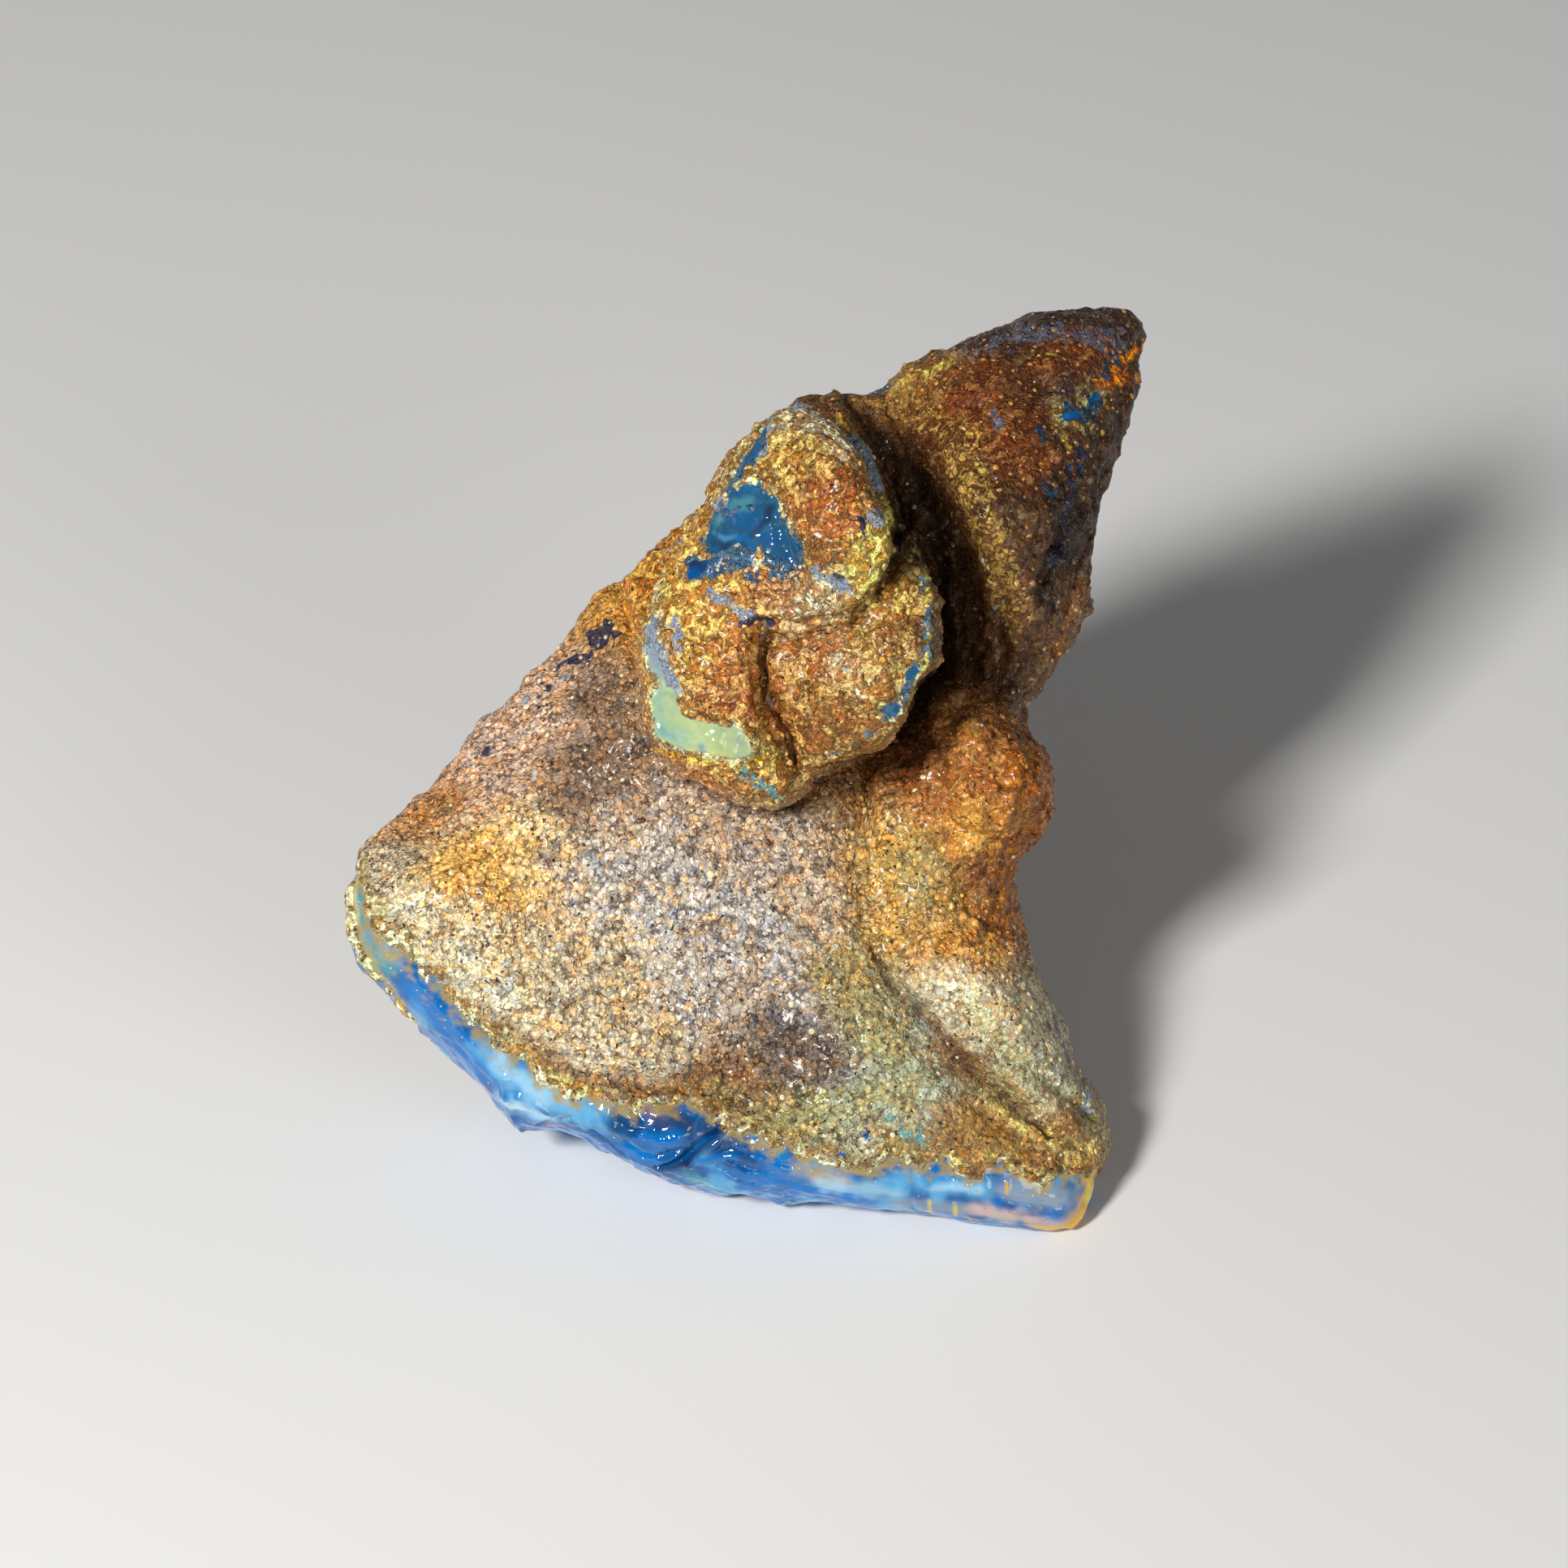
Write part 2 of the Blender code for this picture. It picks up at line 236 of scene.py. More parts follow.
# %% Strokes that shape the skin
# Height and width in millimetres, then the line in picture places.
SKIN_STROKES = [
    # the thin lip of the upper lobe, and the hollow inside it
    (0.35, 0.5, [(1034, 516), (1058, 554), (1084, 607), (1094, 645), (1086, 677), (1072, 712), (1054, 733)]),
    (-0.30, 0.9, [(1020, 540), (1044, 580), (1064, 620), (1070, 660), (1056, 690), (1040, 720)]),
    # the step under the upper lobe, and the small pale knot on it
    (-0.7, 0.5, [(1041, 763), (1010, 768), (975, 774), (946, 770), (930, 782)]),
    (0.5, 0.5, [(972, 758), (984, 756)]),
    (-0.4, 0.7, [(958, 606), (966, 640), (976, 668), (994, 700)]),
    # the groove between the left lobe and the lower one
    (-1.0, 0.8, [(944, 776), (932, 803), (935, 842), (953, 884), (967, 912), (978, 940)]),
    (0.35, 0.7, [(920, 800), (918, 842), (934, 890), (950, 925)]),
    (-0.5, 0.5, [(1000, 800), (1040, 790), (1080, 760)]),
    # the lower lobe's pits and its thin right edge
    (0.3, 0.5, [(1126, 672), (1137, 709), (1140, 740), (1146, 768), (1142, 812), (1120, 845), (1100, 890)]),
    (-0.45, 0.5, [(1118, 740), (1122, 770), (1112, 800)]),
    (-0.3, 0.6, [(1040, 860), (1060, 885), (1090, 880)]),
    # the ledge under the pale green patch
    (-0.55, 0.35, [(806, 918), (830, 932), (868, 938), (905, 944), (930, 948)]),
    (0.3, 0.5, [(800, 800), (802, 860), (812, 905)]),
    # the hollow between the lobes and the face, under the knob
    (-0.9, 0.6, [(856, 958), (884, 970), (920, 990), (956, 1000), (990, 985), (1010, 962), (1040, 950)]),
    (-0.8, 0.5, [(1066, 930), (1070, 960), (1068, 1000), (1064, 1024)]),
    (0.5, 0.8, [(1088, 950), (1092, 985), (1090, 1015)]),
    # wrinkles that run down the deep hollow
    (-0.5, 0.45, [(1070, 510), (1098, 560), (1118, 640), (1130, 720)]),
    (0.4, 0.5, [(1080, 500), (1112, 560), (1134, 640), (1146, 720)]),
    (-0.5, 0.45, [(1096, 505), (1130, 570), (1150, 640), (1160, 700)]),
    (0.35, 0.5, [(1120, 520), (1150, 580), (1168, 650), (1176, 730)]),
    (-0.5, 0.5, [(1160, 720), (1166, 780), (1160, 840), (1146, 890)]),
    (0.4, 0.5, [(1178, 740), (1184, 800), (1180, 850), (1166, 900)]),
    (-0.45, 0.5, [(1196, 720), (1204, 790), (1204, 850), (1196, 900)]),
    (-0.6, 0.5, [(1226, 700), (1236, 740), (1232, 790), (1226, 860)]),
    # the shoulder's lumps and the shelf at its right
    (0.5, 1.1, [(1240, 690), (1262, 720)]),
    (0.45, 1.0, [(1200, 600), (1216, 640)]),
    (-0.8, 0.9, [(1312, 650), (1300, 690), (1284, 720)]),
    (-0.5, 0.6, [(1340, 660), (1330, 700), (1318, 760), (1300, 800)]),
    (0.4, 0.8, [(1330, 720), (1322, 760), (1302, 790)]),
    (1.8, 2.4, [(1170, 880), (1196, 915)]),
    # the waist and the bump at the right
    (-0.5, 0.6, [(1140, 1010), (1190, 1030), (1230, 1036), (1270, 1030)]),
    (0.5, 1.3, [(1176, 960), (1210, 985)]),
    (0.35, 0.8, [(1256, 950), (1272, 985)]),
    (-0.4, 0.5, [(1224, 900), (1232, 950), (1228, 1000)]),
    (-0.45, 0.6, [(1180, 1080), (1206, 1120), (1240, 1150)]),
    (0.35, 0.9, [(1150, 1165), (1200, 1160), (1240, 1170)]),
    (-0.45, 0.35, [(1166, 868), (1156, 900), (1140, 930), (1118, 960)]),
    (0.40, 0.40, [(1184, 872), (1172, 906), (1154, 940), (1130, 975)]),
    (-0.45, 0.35, [(1196, 884), (1186, 920), (1168, 955), (1146, 990)]),
    (-0.50, 0.40, [(1092, 922), (1104, 934), (1118, 940)]),
    (0.35, 0.35, [(1206, 930), (1200, 965), (1188, 1000)]),
    (-0.40, 0.30, [(1216, 930), (1212, 965), (1202, 1000)]),
    (-0.35, 0.30, [(1240, 930), (1238, 970), (1226, 1010)]),
    (0.30, 0.35, [(1250, 925), (1250, 965), (1240, 1005)]),
    # the creases that gather toward the lower right corner
    (-0.55, 0.6, [(1066, 1130), (1080, 1172), (1112, 1226), (1150, 1262), (1176, 1300), (1230, 1344), (1290, 1400)]),
    (0.6, 0.7, [(1110, 1190), (1160, 1250), (1216, 1300), (1280, 1350), (1320, 1392)]),
    (-0.6, 0.5, [(1180, 1240), (1230, 1290), (1290, 1330), (1340, 1370)]),
    (-0.2, 0.45, [(1130, 1290), (1168, 1346), (1216, 1372), (1256, 1410)]),
    (0.35, 0.45, [(1226, 1362), (1260, 1390), (1288, 1408), (1327, 1423)]),
    (0.3, 0.4, [(1293, 1392), (1320, 1408), (1342, 1424)]),
    (-0.35, 0.4, [(1270, 1376), (1300, 1400), (1336, 1414)]),
    # the pitted gutter behind the crust's edge, and the swelling beside it
    (-0.45, 0.9, [(585, 1236), (614, 1261), (640, 1276), (682, 1305), (705, 1326), (779, 1336), (840, 1336)]),
    (-0.35, 0.8, [(860, 1330), (910, 1356), (960, 1376), (1010, 1396), (1060, 1404)]),
    (0.3, 1.2, [(600, 1190), (660, 1240), (720, 1276), (800, 1296)]),
    # the swelling and the dent in the middle of the face
    (-0.4, 1.6, [(950, 1240), (1000, 1290)]),
    (0.3, 1.6, [(780, 1080), (860, 1120)]),
    (-0.35, 1.2, [(1040, 1020), (1060, 1080), (1070, 1130)]),
    # the bumps of the left tip
    (0.35, 0.8, [(473, 1142), (480, 1148)]),
    (0.3, 0.7, [(446, 1100), (450, 1130)]),
    # the fin's rib and the dents beside it
    (0.4, 1.2, [(1110, 480), (1180, 440), (1260, 410), (1340, 396)]),
    (-0.4, 0.8, [(1180, 510), (1240, 490), (1290, 470)]),
    (-0.35, 0.6, [(1250, 560), (1270, 520), (1286, 480)]),
]

FACE_SWELL = 0.16
BACK_SWELL = 0.55
FINE_CELL = 0.22 * MM

# %% [markdown]
# Strokes are too soft for the knob: its lobes lie over one another like flaps, with steep edges. So each
# lobe is an outline in the picture, and everything inside it is lifted straight toward the camera, which
# leaves its outline where the picture has it. A bead follows the edge, because the flaps have thick lips,
# and a groove runs just outside it, where the flap overhangs. The lifted walls are stretched, so the skin
# is wrapped anew afterwards.

# %% Lobes of the knob
# Whether it lies under the first one; lift in the picture's middle and what it gains per 100 pixels to the
# right; bead, groove and steepness, all in millimetres; then the outline.
# Where an outline runs far outside the knob, no edge shows.
LOBES = [
    # left and upper lobes together, over the lower one and over the face
    (False, 1.1, 0.0, 0.34, 1.10, 0.24, [
        (1010, 440), (1040, 505), (1066, 548), (1092, 604), (1103, 645), (1095, 680), (1080, 714), (1062, 738),
        (1043, 766), (1010, 773), (975, 780), (948, 776), (934, 803), (936, 842), (954, 884), (968, 912),
        (978, 950), (962, 996), (918, 990), (879, 964), (848, 953), (816, 928), (799, 904), (793, 873),
        (790, 821), (786, 772), (740, 640), (900, 440),
    ]),
    # the thick flap of the upper lobe, inside its left step
    (False, 0.35, 0.0, 0.25, 0.20, 0.30, [
        (1000, 440), (1040, 505), (1066, 548), (1092, 604), (1103, 645), (1095, 680), (1080, 714), (1062, 738),
        (1043, 766), (1022, 742), (1000, 712), (983, 690), (968, 660), (958, 625), (950, 590), (944, 540),
        (960, 500),
    ]),
    # the lower lobe, with a thin right edge over the deep hollow
    (True, 0.40, 1.1, 0.32, 0.80, 0.26, [
        (1000, 740), (1070, 700), (1116, 655), (1134, 672), (1145, 709), (1153, 768), (1152, 817), (1132, 840),
        (1122, 873), (1100, 900), (1071, 926), (1020, 947), (1000, 958), (985, 978), (960, 990), (940, 900),
        (920, 800),
    ]),
    # the ledge of green resin at the lower left
    (False, 0.25, 0.0, 0.12, 0.35, 0.20, [
        (790, 760), (830, 770), (850, 830), (870, 880), (935, 900), (938, 934), (900, 940), (868, 934),
        (830, 926), (806, 914), (797, 880),
    ]),
]


def depth_inside(points, outline):
    """How many millimetres inside the outline the camera sees each point, below zero outside it."""
    seen = picture_places(points)
    inside = np.zeros(len(points), bool)
    nearest = np.full(len(points), 1e9)
    for (x1, y1), (x2, y2) in zip(outline, outline[1:] + outline[:1]):
        step = np.array([x2 - x1, y2 - y1], float)
        away = seen - (x1, y1)
        share = np.clip(away @ step / (step @ step), 0.0, 1.0)
        nearest = np.minimum(nearest, np.linalg.norm(away - share[:, None] * step, axis=1))
        if y1 != y2:
            crosses = (y1 > seen[:, 1]) != (y2 > seen[:, 1])
            inside ^= crosses & (seen[:, 0] < x1 + (seen[:, 1] - y1) * (x2 - x1) / (y2 - y1))
    return np.where(inside, nearest, -nearest) * (PIXEL / MM)


def lift_lobes(places, shown):
    """Lifts the lobes toward the camera where their side of the skin is shown."""
    total = np.zeros(len(places))
    wander = 0.08 * variation(places, 1.2, seed=8)
    beneath = 1.0 - ramp(-0.1, 0.3, depth_inside(places, LOBES[0][6]))
    to_the_right = (picture_places(places)[:, 0] - PICTURE / 2) / 100
    for under, lift, gain, bead, groove, steep, outline in LOBES:
        inside = depth_inside(places, outline) + wander
        rise = (lift + gain * to_the_right) * ramp(-0.1, steep, inside)
        rise += bead * np.exp(-(((inside - steep) / 0.35) ** 2))
        rise -= groove * np.exp(-(((inside + 0.35) / 0.32) ** 2))
        total += rise * (beneath if under else 1.0)
    return places + OUT_OF_FACE * (total * shown * MM)[:, None]


def push(places, ways, strokes):
    """Moves places along their ways by the height of each stroke, fading with the distance to its line."""
    total = np.zeros(len(places))
    for height, width, line in strokes:
        away = distance_to(places, on_surface(line))
        total += height * np.exp(-((away / width) ** 2))
    return places + ways * (total * MM)[:, None]


places = points_of(skin)
ways = normals_of(skin)
toward_camera = ways @ OUT_OF_FACE
shown = ramp(-0.15, 0.25, toward_camera)
swell = variation(places, 5.0, seed=11, octaves=4) * (BACK_SWELL + (FACE_SWELL - BACK_SWELL) * shown)
settled = ramp(0.0, 1.2, places[:, 2] / MM)
front_side = ramp(-0.15, 0.15, toward_camera)
places = push(places, ways, SKIN_STROKES) + ways * (swell * settled * MM)[:, None]
places = lift_lobes(places, front_side)
move_points(skin, places)
apply_modifier(skin, "REMESH", mode="VOXEL", voxel_size=FINE_CELL)
apply_modifier(skin, "SMOOTH", factor=0.5, iterations=2)
surface = tree_of(skin)
print(len(SKIN_STROKES), "strokes and", len(LOBES), "lobes shaped the skin")
print("it has", len(skin.data.polygons), "faces now")

# %% [markdown]
# ## Where the crust ends
# The bare resin shows as a glossy band along the lower rim, and as a few windows in the knob. The
# crust's edge is ragged, like paint that flaked. So we work out how far inside the crust each point is,
# in millimetres, with the edge line read off the picture, and add a variation to it that is coarse and
# fine at once. Points below the line, in front and behind, are bare.

# %% How deep inside the crust a point is
CRUST_EDGE = [
    (400, 1060), (438, 1072), (450, 1100), (458, 1138), (468, 1159), (490, 1166), (512, 1182), (520, 1202), (536, 1214),
    (556, 1234), (572, 1252), (590, 1258), (599, 1273), (609, 1285), (626, 1292), (648, 1304), (662, 1324),
    (682, 1336), (699, 1353), (730, 1350), (747, 1360), (771, 1362), (784, 1372), (794, 1358), (831, 1361),
    (842, 1353), (858, 1353), (872, 1369), (888, 1380), (901, 1388), (917, 1396), (941, 1401), (952, 1415),
    (968, 1409), (979, 1423), (1008, 1428), (1035, 1431), (1048, 1443), (1067, 1444), (1077, 1436),
    (1094, 1423), (1107, 1433), (1135, 1441), (1153, 1431), (1173, 1441), (1189, 1446), (1204, 1454),
    (1217, 1441), (1230, 1433), (1250, 1436), (1270, 1454), (1288, 1466), (1306, 1449), (1319, 1443),
    (1342, 1446), (1400, 1440),
]

# Windows in the crust: half width in millimetres, then the line in picture places.
WINDOWS = [
    (1.00, [(888, 662), (915, 642), (945, 657), (970, 678)]),
    (0.75, [(904, 614), (928, 606), (946, 626)]),
    (0.55, [(880, 640), (876, 660)]),
    (0.45, [(868, 694), (854, 702)]),
    (0.55, [(944, 526), (928, 550), (908, 578)]),
    (1.30, [(818, 866), (822, 890), (838, 904), (866, 914), (900, 922)]),
    (0.50, [(806, 812), (812, 834), (820, 858)]),
    (0.24, [(1122, 830), (1112, 856), (1100, 876)]),
    (0.22, [(962, 984), (944, 972)]),
    (0.18, [(1314, 512), (1330, 510)]),
    (0.14, [(1344, 494), (1352, 488)]),
]

# Islands of crust on the bare left tip, in the same form.
ISLANDS = [
    (0.50, [(428, 1096), (430, 1124), (434, 1150)]),
    (0.45, [(440, 1168), (450, 1188), (462, 1206)]),
    (0.26, [(472, 1216), (488, 1236), (506, 1256)]),
    (0.30, [(452, 1110), (454, 1118)]),
]


def crust_depth(points):
    """How many millimetres inside the crust's edge each point is, below zero where the resin is bare."""
    seen = picture_places(points)
    edge = np.array(CRUST_EDGE, float)
    slope = np.gradient(edge[:, 1], edge[:, 0])
    line = np.interp(seen[:, 0], edge[:, 0], edge[:, 1])
    steep = np.interp(seen[:, 0], edge[:, 0], np.convolve(slope, np.ones(5) / 5, mode="same"))
    depth = (line - seen[:, 1]) / np.sqrt(1.0 + steep**2) * (PIXEL / MM)
    for width, window in WINDOWS:
        depth = np.minimum(depth, distance_to(points, on_surface(window)) - width)
    for width, island in ISLANDS:
        depth = np.maximum(depth, width - distance_to(points, on_surface(island)))
    ragged = 0.28 * variation(points, 0.9, seed=5, octaves=3) + 0.22 * variation(points, 2.6, seed=6)
    return depth + ragged


depth = crust_depth(points_of(skin))
bare_share = (depth < 0).mean()
print(f"about {100 * bare_share:.0f} percent of the skin is bare resin")

# %% [markdown]
# ## The resin lump
# The resin is one closed lump, because light has to enter it and leave it. Where the crust covers it,
# nobody sees its surface, so those faces are thinned out, and the bare band keeps its fine ones. First
# the band is subdivided once more, to 0.1 mm, and shaped: a sharp fissure and the folds beside it at
# the middle, a chipped facet at the left, drips and ripples at the right.

# %% Shape the bare band
BARE_STROKES = [
    # the black fissure, then the folds that fan out from it
    (-1.1, 0.22, [(896, 1384), (888, 1392), (874, 1400), (853, 1417), (842, 1430), (830, 1436), (808, 1443)]),
    (0.30, 0.35, [(902, 1392), (880, 1410), (860, 1428), (848, 1438)]),
    (-0.35, 0.16, [(884, 1440), (900, 1450), (928, 1463)]),
    (-0.35, 0.16, [(898, 1432), (920, 1442), (944, 1447)]),
    (0.28, 0.30, [(866, 1432), (884, 1427), (904, 1424), (930, 1432)]),
    (-0.30, 0.18, [(905, 1400), (925, 1416), (948, 1428), (975, 1440)]),
    (0.22, 0.35, [(912, 1410), (936, 1424), (960, 1436)]),
    (-0.28, 0.18, [(848, 1446), (866, 1456), (884, 1462)]),
    (0.35, 0.55, [(792, 1398), (812, 1406), (832, 1404)]),
    (-0.40, 0.25, [(770, 1412), (790, 1424), (815, 1428), (838, 1420)]),
    (-0.28, 0.20, [(760, 1376), (776, 1388), (800, 1392)]),
    (0.22, 0.40, [(744, 1384), (764, 1398), (782, 1406)]),
    (-0.25, 0.18, [(728, 1396), (748, 1408), (770, 1424)]),
    # the chipped facet at the left, with its raised edge
    (0.35, 0.30, [(619, 1350), (640, 1353), (658, 1361), (680, 1374)]),
    (-0.38, 0.55, [(632, 1374), (650, 1378), (666, 1382)]),
    (0.28, 0.28, [(622, 1330), (626, 1352), (632, 1380), (643, 1393)]),
    (-0.25, 0.25, [(664, 1390), (684, 1384), (704, 1380)]),
    (0.20, 0.35, [(700, 1356), (712, 1372), (720, 1390)]),
    # long gentle ridges of the left stretch
    (0.16, 0.80, [(520, 1222), (556, 1262), (590, 1302), (620, 1340)]),
    (-0.12, 0.60, [(500, 1214), (532, 1254), (566, 1296), (600, 1336)]),
    # the right stretch: a step across the band, drips and the corner
    (-0.18, 0.18, [(1125, 1446), (1126, 1470), (1123, 1492)]),
    (0.20, 0.45, [(1140, 1462), (1176, 1464), (1214, 1466)]),
    (0.12, 0.12, [(1176, 1456), (1177, 1500)]),
    (0.12, 0.12, [(1194, 1460), (1195, 1504)]),
    (0.14, 0.14, [(1241, 1456), (1242, 1496)]),
    (-0.16, 0.12, [(1262, 1500), (1274, 1503), (1286, 1499), (1298, 1503)]),
    (-0.20, 0.40, [(1230, 1478), (1270, 1484), (1310, 1488)]),
    (0.25, 0.35, [(1334, 1440), (1346, 1462), (1340, 1494), (1322, 1514)]),
    (0.20, 0.35, [(1000, 1446), (1040, 1456), (1080, 1462), (1110, 1466)]),
    (-0.16, 0.25, [(960, 1456), (1000, 1468), (1050, 1476)]),
]
BELOW_CRUST = 0.19
HIDDEN_BELOW = 0.7
BAND_FACES_KEPT = 180000


def copy_of(piece, name):
    """Another piece with its own copy of the mesh."""
    made = bpy.data.objects.new(name, piece.data.copy())
    scene.collection.objects.link(made)
    return made


def select_faces(piece, chosen):
    """Selects just these faces, by an array of yes and no."""
    mesh = piece.data
    mesh.vertices.foreach_set("select", np.zeros(len(mesh.vertices), bool))
    mesh.edges.foreach_set("select", np.zeros(len(mesh.edges), bool))
    mesh.polygons.foreach_set("select", chosen)


def face_means(piece, values):
    """Each face's mean of a value that its points have."""
    corners = np.empty(len(piece.data.loops), np.int64)
    piece.data.loops.foreach_get("vertex_index", corners)
    totals = np.empty(len(piece.data.polygons), np.int64)
    piece.data.polygons.foreach_get("loop_total", totals)
    return np.add.reduceat(values[corners], np.concatenate([[0], np.cumsum(totals)[:-1]])) / totals


def drop_flakes(piece):
    """Removes flat flakes, which are two triangles on the same three points, and points left over."""
    corners = np.sort(np.array([tuple(face.vertices) for face in piece.data.polygons]), axis=1)
    _, which, times = np.unique(corners, axis=0, return_inverse=True, return_counts=True)
    flakes = times[which.ravel()] > 1
    if flakes.any():
        select_faces(piece, flakes)
        bpy.ops.object.mode_set(mode="EDIT")
        bpy.ops.mesh.select_mode(type="FACE")
        bpy.ops.mesh.delete(type="FACE")
        bpy.ops.mesh.select_all(action="SELECT")
        bpy.ops.mesh.delete_loose(use_verts=True, use_edges=True, use_faces=False)
        bpy.ops.object.mode_set(mode="OBJECT")
    print(piece.name, "had", flakes.sum(), "faces of flat flakes")


def thin_out(piece, keep, triangles):
    """Brings the piece down to about this many triangles, the longest where keep is low."""
    group = piece.vertex_groups.new(name="fewer")
    levels = 10
    for level in range(levels + 1):
        chosen = np.flatnonzero(np.round((1.0 - keep) * levels) == level)
        group.add(chosen.tolist(), 0.02 + 0.86 * level / levels, "REPLACE")
    piece.data.calc_loop_triangles()
    ratio = triangles / len(piece.data.loop_triangles)
    apply_modifier(
        piece, "DECIMATE", ratio=min(ratio, 1.0), vertex_group="fewer", vertex_group_factor=1000.0,
        use_collapse_triangulate=True,
    )
    piece.vertex_groups.clear()
    drop_flakes(piece)


resin = copy_of(skin, "amber_lump")
make_active(resin)
bpy.ops.object.mode_set(mode="EDIT")
bpy.ops.mesh.select_all(action="DESELECT")
bpy.ops.mesh.select_mode(type="FACE")
bpy.ops.object.mode_set(mode="OBJECT")
select_faces(resin, face_means(resin, depth) < 0.25)
bpy.ops.object.mode_set(mode="EDIT")
bpy.ops.mesh.subdivide(number_cuts=1, smoothness=0.0)
bpy.ops.object.mode_set(mode="OBJECT")
places = points_of(resin)
ways = normals_of(resin)
depth = crust_depth(places)
bare = 1.0 - ramp(-0.1, 0.6, depth)
chips = variation(places, 3.2, seed=21, octaves=2)
folded = ramp(640, 760, picture_places(places)[:, 0]) * (1.0 - ramp(960, 1060, picture_places(places)[:, 0]))
ripples = (0.06 + 0.10 * folded) * np.abs(chips) + (0.01 + 0.03 * folded) * variation(places, 1.1, seed=22, octaves=2)
shaped = push(places, ways, BARE_STROKES)
places = places + (shaped - places) * bare[:, None]
lowered = BELOW_CRUST + HIDDEN_BELOW * ramp(0.5, 2.0, depth) - ripples * bare
places -= ways * (lowered * MM)[:, None]
move_points(resin, places)
facing = ramp(-0.2, 0.2, normals_of(resin) @ OUT_OF_FACE)
thin_out(resin, (1.0 - ramp(0.3, 0.9, depth)) * (0.6 + 0.4 * facing), BAND_FACES_KEPT)
make_active(resin)
bpy.ops.object.shade_smooth()
print("the resin lump has", len(resin.data.polygons), "faces")

# %% [markdown]
# ## The crust
# The crust is a thin closed shell: the skin's covered faces, pushed outward, given a thickness by
# Solidify. Near its ragged edge it thins and dives below the resin's surface, so the line where the
# two meet is sharp and needs no cutting. It is roughened by displacement with cloud and cell textures,
# from lumps of a few millimetres down to pits of half a millimetre.

# %% Build the crust
CRUST_RISE = 0.16
CRUST_DIVE = 0.42
CRUST_THICK = 0.55
CRUST_FACES_KEPT = 185000


def roughen(piece, kind, size, height, group, **settings):
    """Displaces the piece by a solid texture whose features are this many millimetres wide."""
    texture = bpy.data.textures.new(f"{piece.name}_{kind.lower()}", kind)
    texture.noise_scale = size * MM
    for name, value in settings.items():
        setattr(texture, name, value)
    apply_modifier(
        piece, "DISPLACE", texture=texture, texture_coords="LOCAL", strength=height * MM,
        mid_level=0.5, vertex_group=group,
    )
    bpy.data.textures.remove(texture)


def group_of(piece, name, values):
    """A vertex group with these weights, in steps of a quarter."""
    group = piece.vertex_groups.new(name=name)
    for level in range(1, 5):
        chosen = np.flatnonzero(np.ceil(values * 4 - 0.01) == level)
        group.add(chosen.tolist(), level / 4, "REPLACE")


def cobbled(points, facing):
    """Where the crust is a heap of coarse cobbles: at the right of the face, the shoulder, the lower lobe."""
    seen = picture_places(points)
    right = ramp(1080, 1150, seen[:, 0]) * (1.0 - ramp(1130, 1200, seen[:, 1])) * ramp(430, 640, seen[:, 1])
    knob = np.maximum(depth_inside(points, LOBES[0][6]), depth_inside(points, LOBES[2][6]))
    lower_lobe = ramp(-0.5, 0.5, knob) * 0.75
    return np.maximum(np.maximum(right, lower_lobe) * ramp(-0.3, 0.1, facing), 0.6 * (1.0 - ramp(-0.4, 0.0, facing)))


crust = copy_of(skin, "sand_crust")
depth = crust_depth(points_of(crust))
make_active(crust)
bpy.ops.object.mode_set(mode="EDIT")
bpy.ops.mesh.select_all(action="DESELECT")
bpy.ops.object.mode_set(mode="OBJECT")
select_faces(crust, face_means(crust, depth) < -0.45)
bpy.ops.object.mode_set(mode="EDIT")
bpy.ops.mesh.delete(type="FACE")
bpy.ops.object.mode_set(mode="OBJECT")
places = points_of(crust)
ways = normals_of(crust)
depth = crust_depth(places)
well_inside = ramp(0.0, 0.6, depth) * ramp(0.05, 0.5, places[:, 2] / MM)
group_of(crust, "rough", well_inside)
group_of(crust, "cobbled", well_inside * cobbled(places, ways @ OUT_OF_FACE))
height = CRUST_RISE * ramp(-0.1, 0.35, depth) - CRUST_DIVE * (1.0 - ramp(-0.3, 0.12, depth))
move_points(crust, places + ways * (height * MM)[:, None])
roughen(crust, "CLOUDS", 2.4, 0.34, "rough", noise_depth=3)
roughen(crust, "CLOUDS", 0.75, 0.26, "rough", noise_depth=2)
roughen(crust, "VORONOI", 0.55, 0.16, "rough")
roughen(crust, "CLOUDS", 1.7, 0.7, "cobbled", noise_type="HARD_NOISE", noise_depth=3)
roughen(crust, "VORONOI", 0.9, -0.35, "cobbled")
move_points(crust, points_of(crust))
front = ramp(-0.1, 0.35, normals_of(crust) @ OUT_OF_FACE)
apply_modifier(crust, "SOLIDIFY", thickness=CRUST_THICK * MM, offset=-1.0, use_rim=True)
print("the shell has", len(crust.data.polygons), "faces before thinning")
keep = np.zeros(len(crust.data.vertices))
keep[:len(front)] = 0.4 + 0.6 * front
crust.vertex_groups.clear()
thin_out(crust, keep, CRUST_FACES_KEPT)
make_active(crust)
bpy.ops.object.shade_smooth()
print("the crust has", len(crust.data.polygons), "faces")
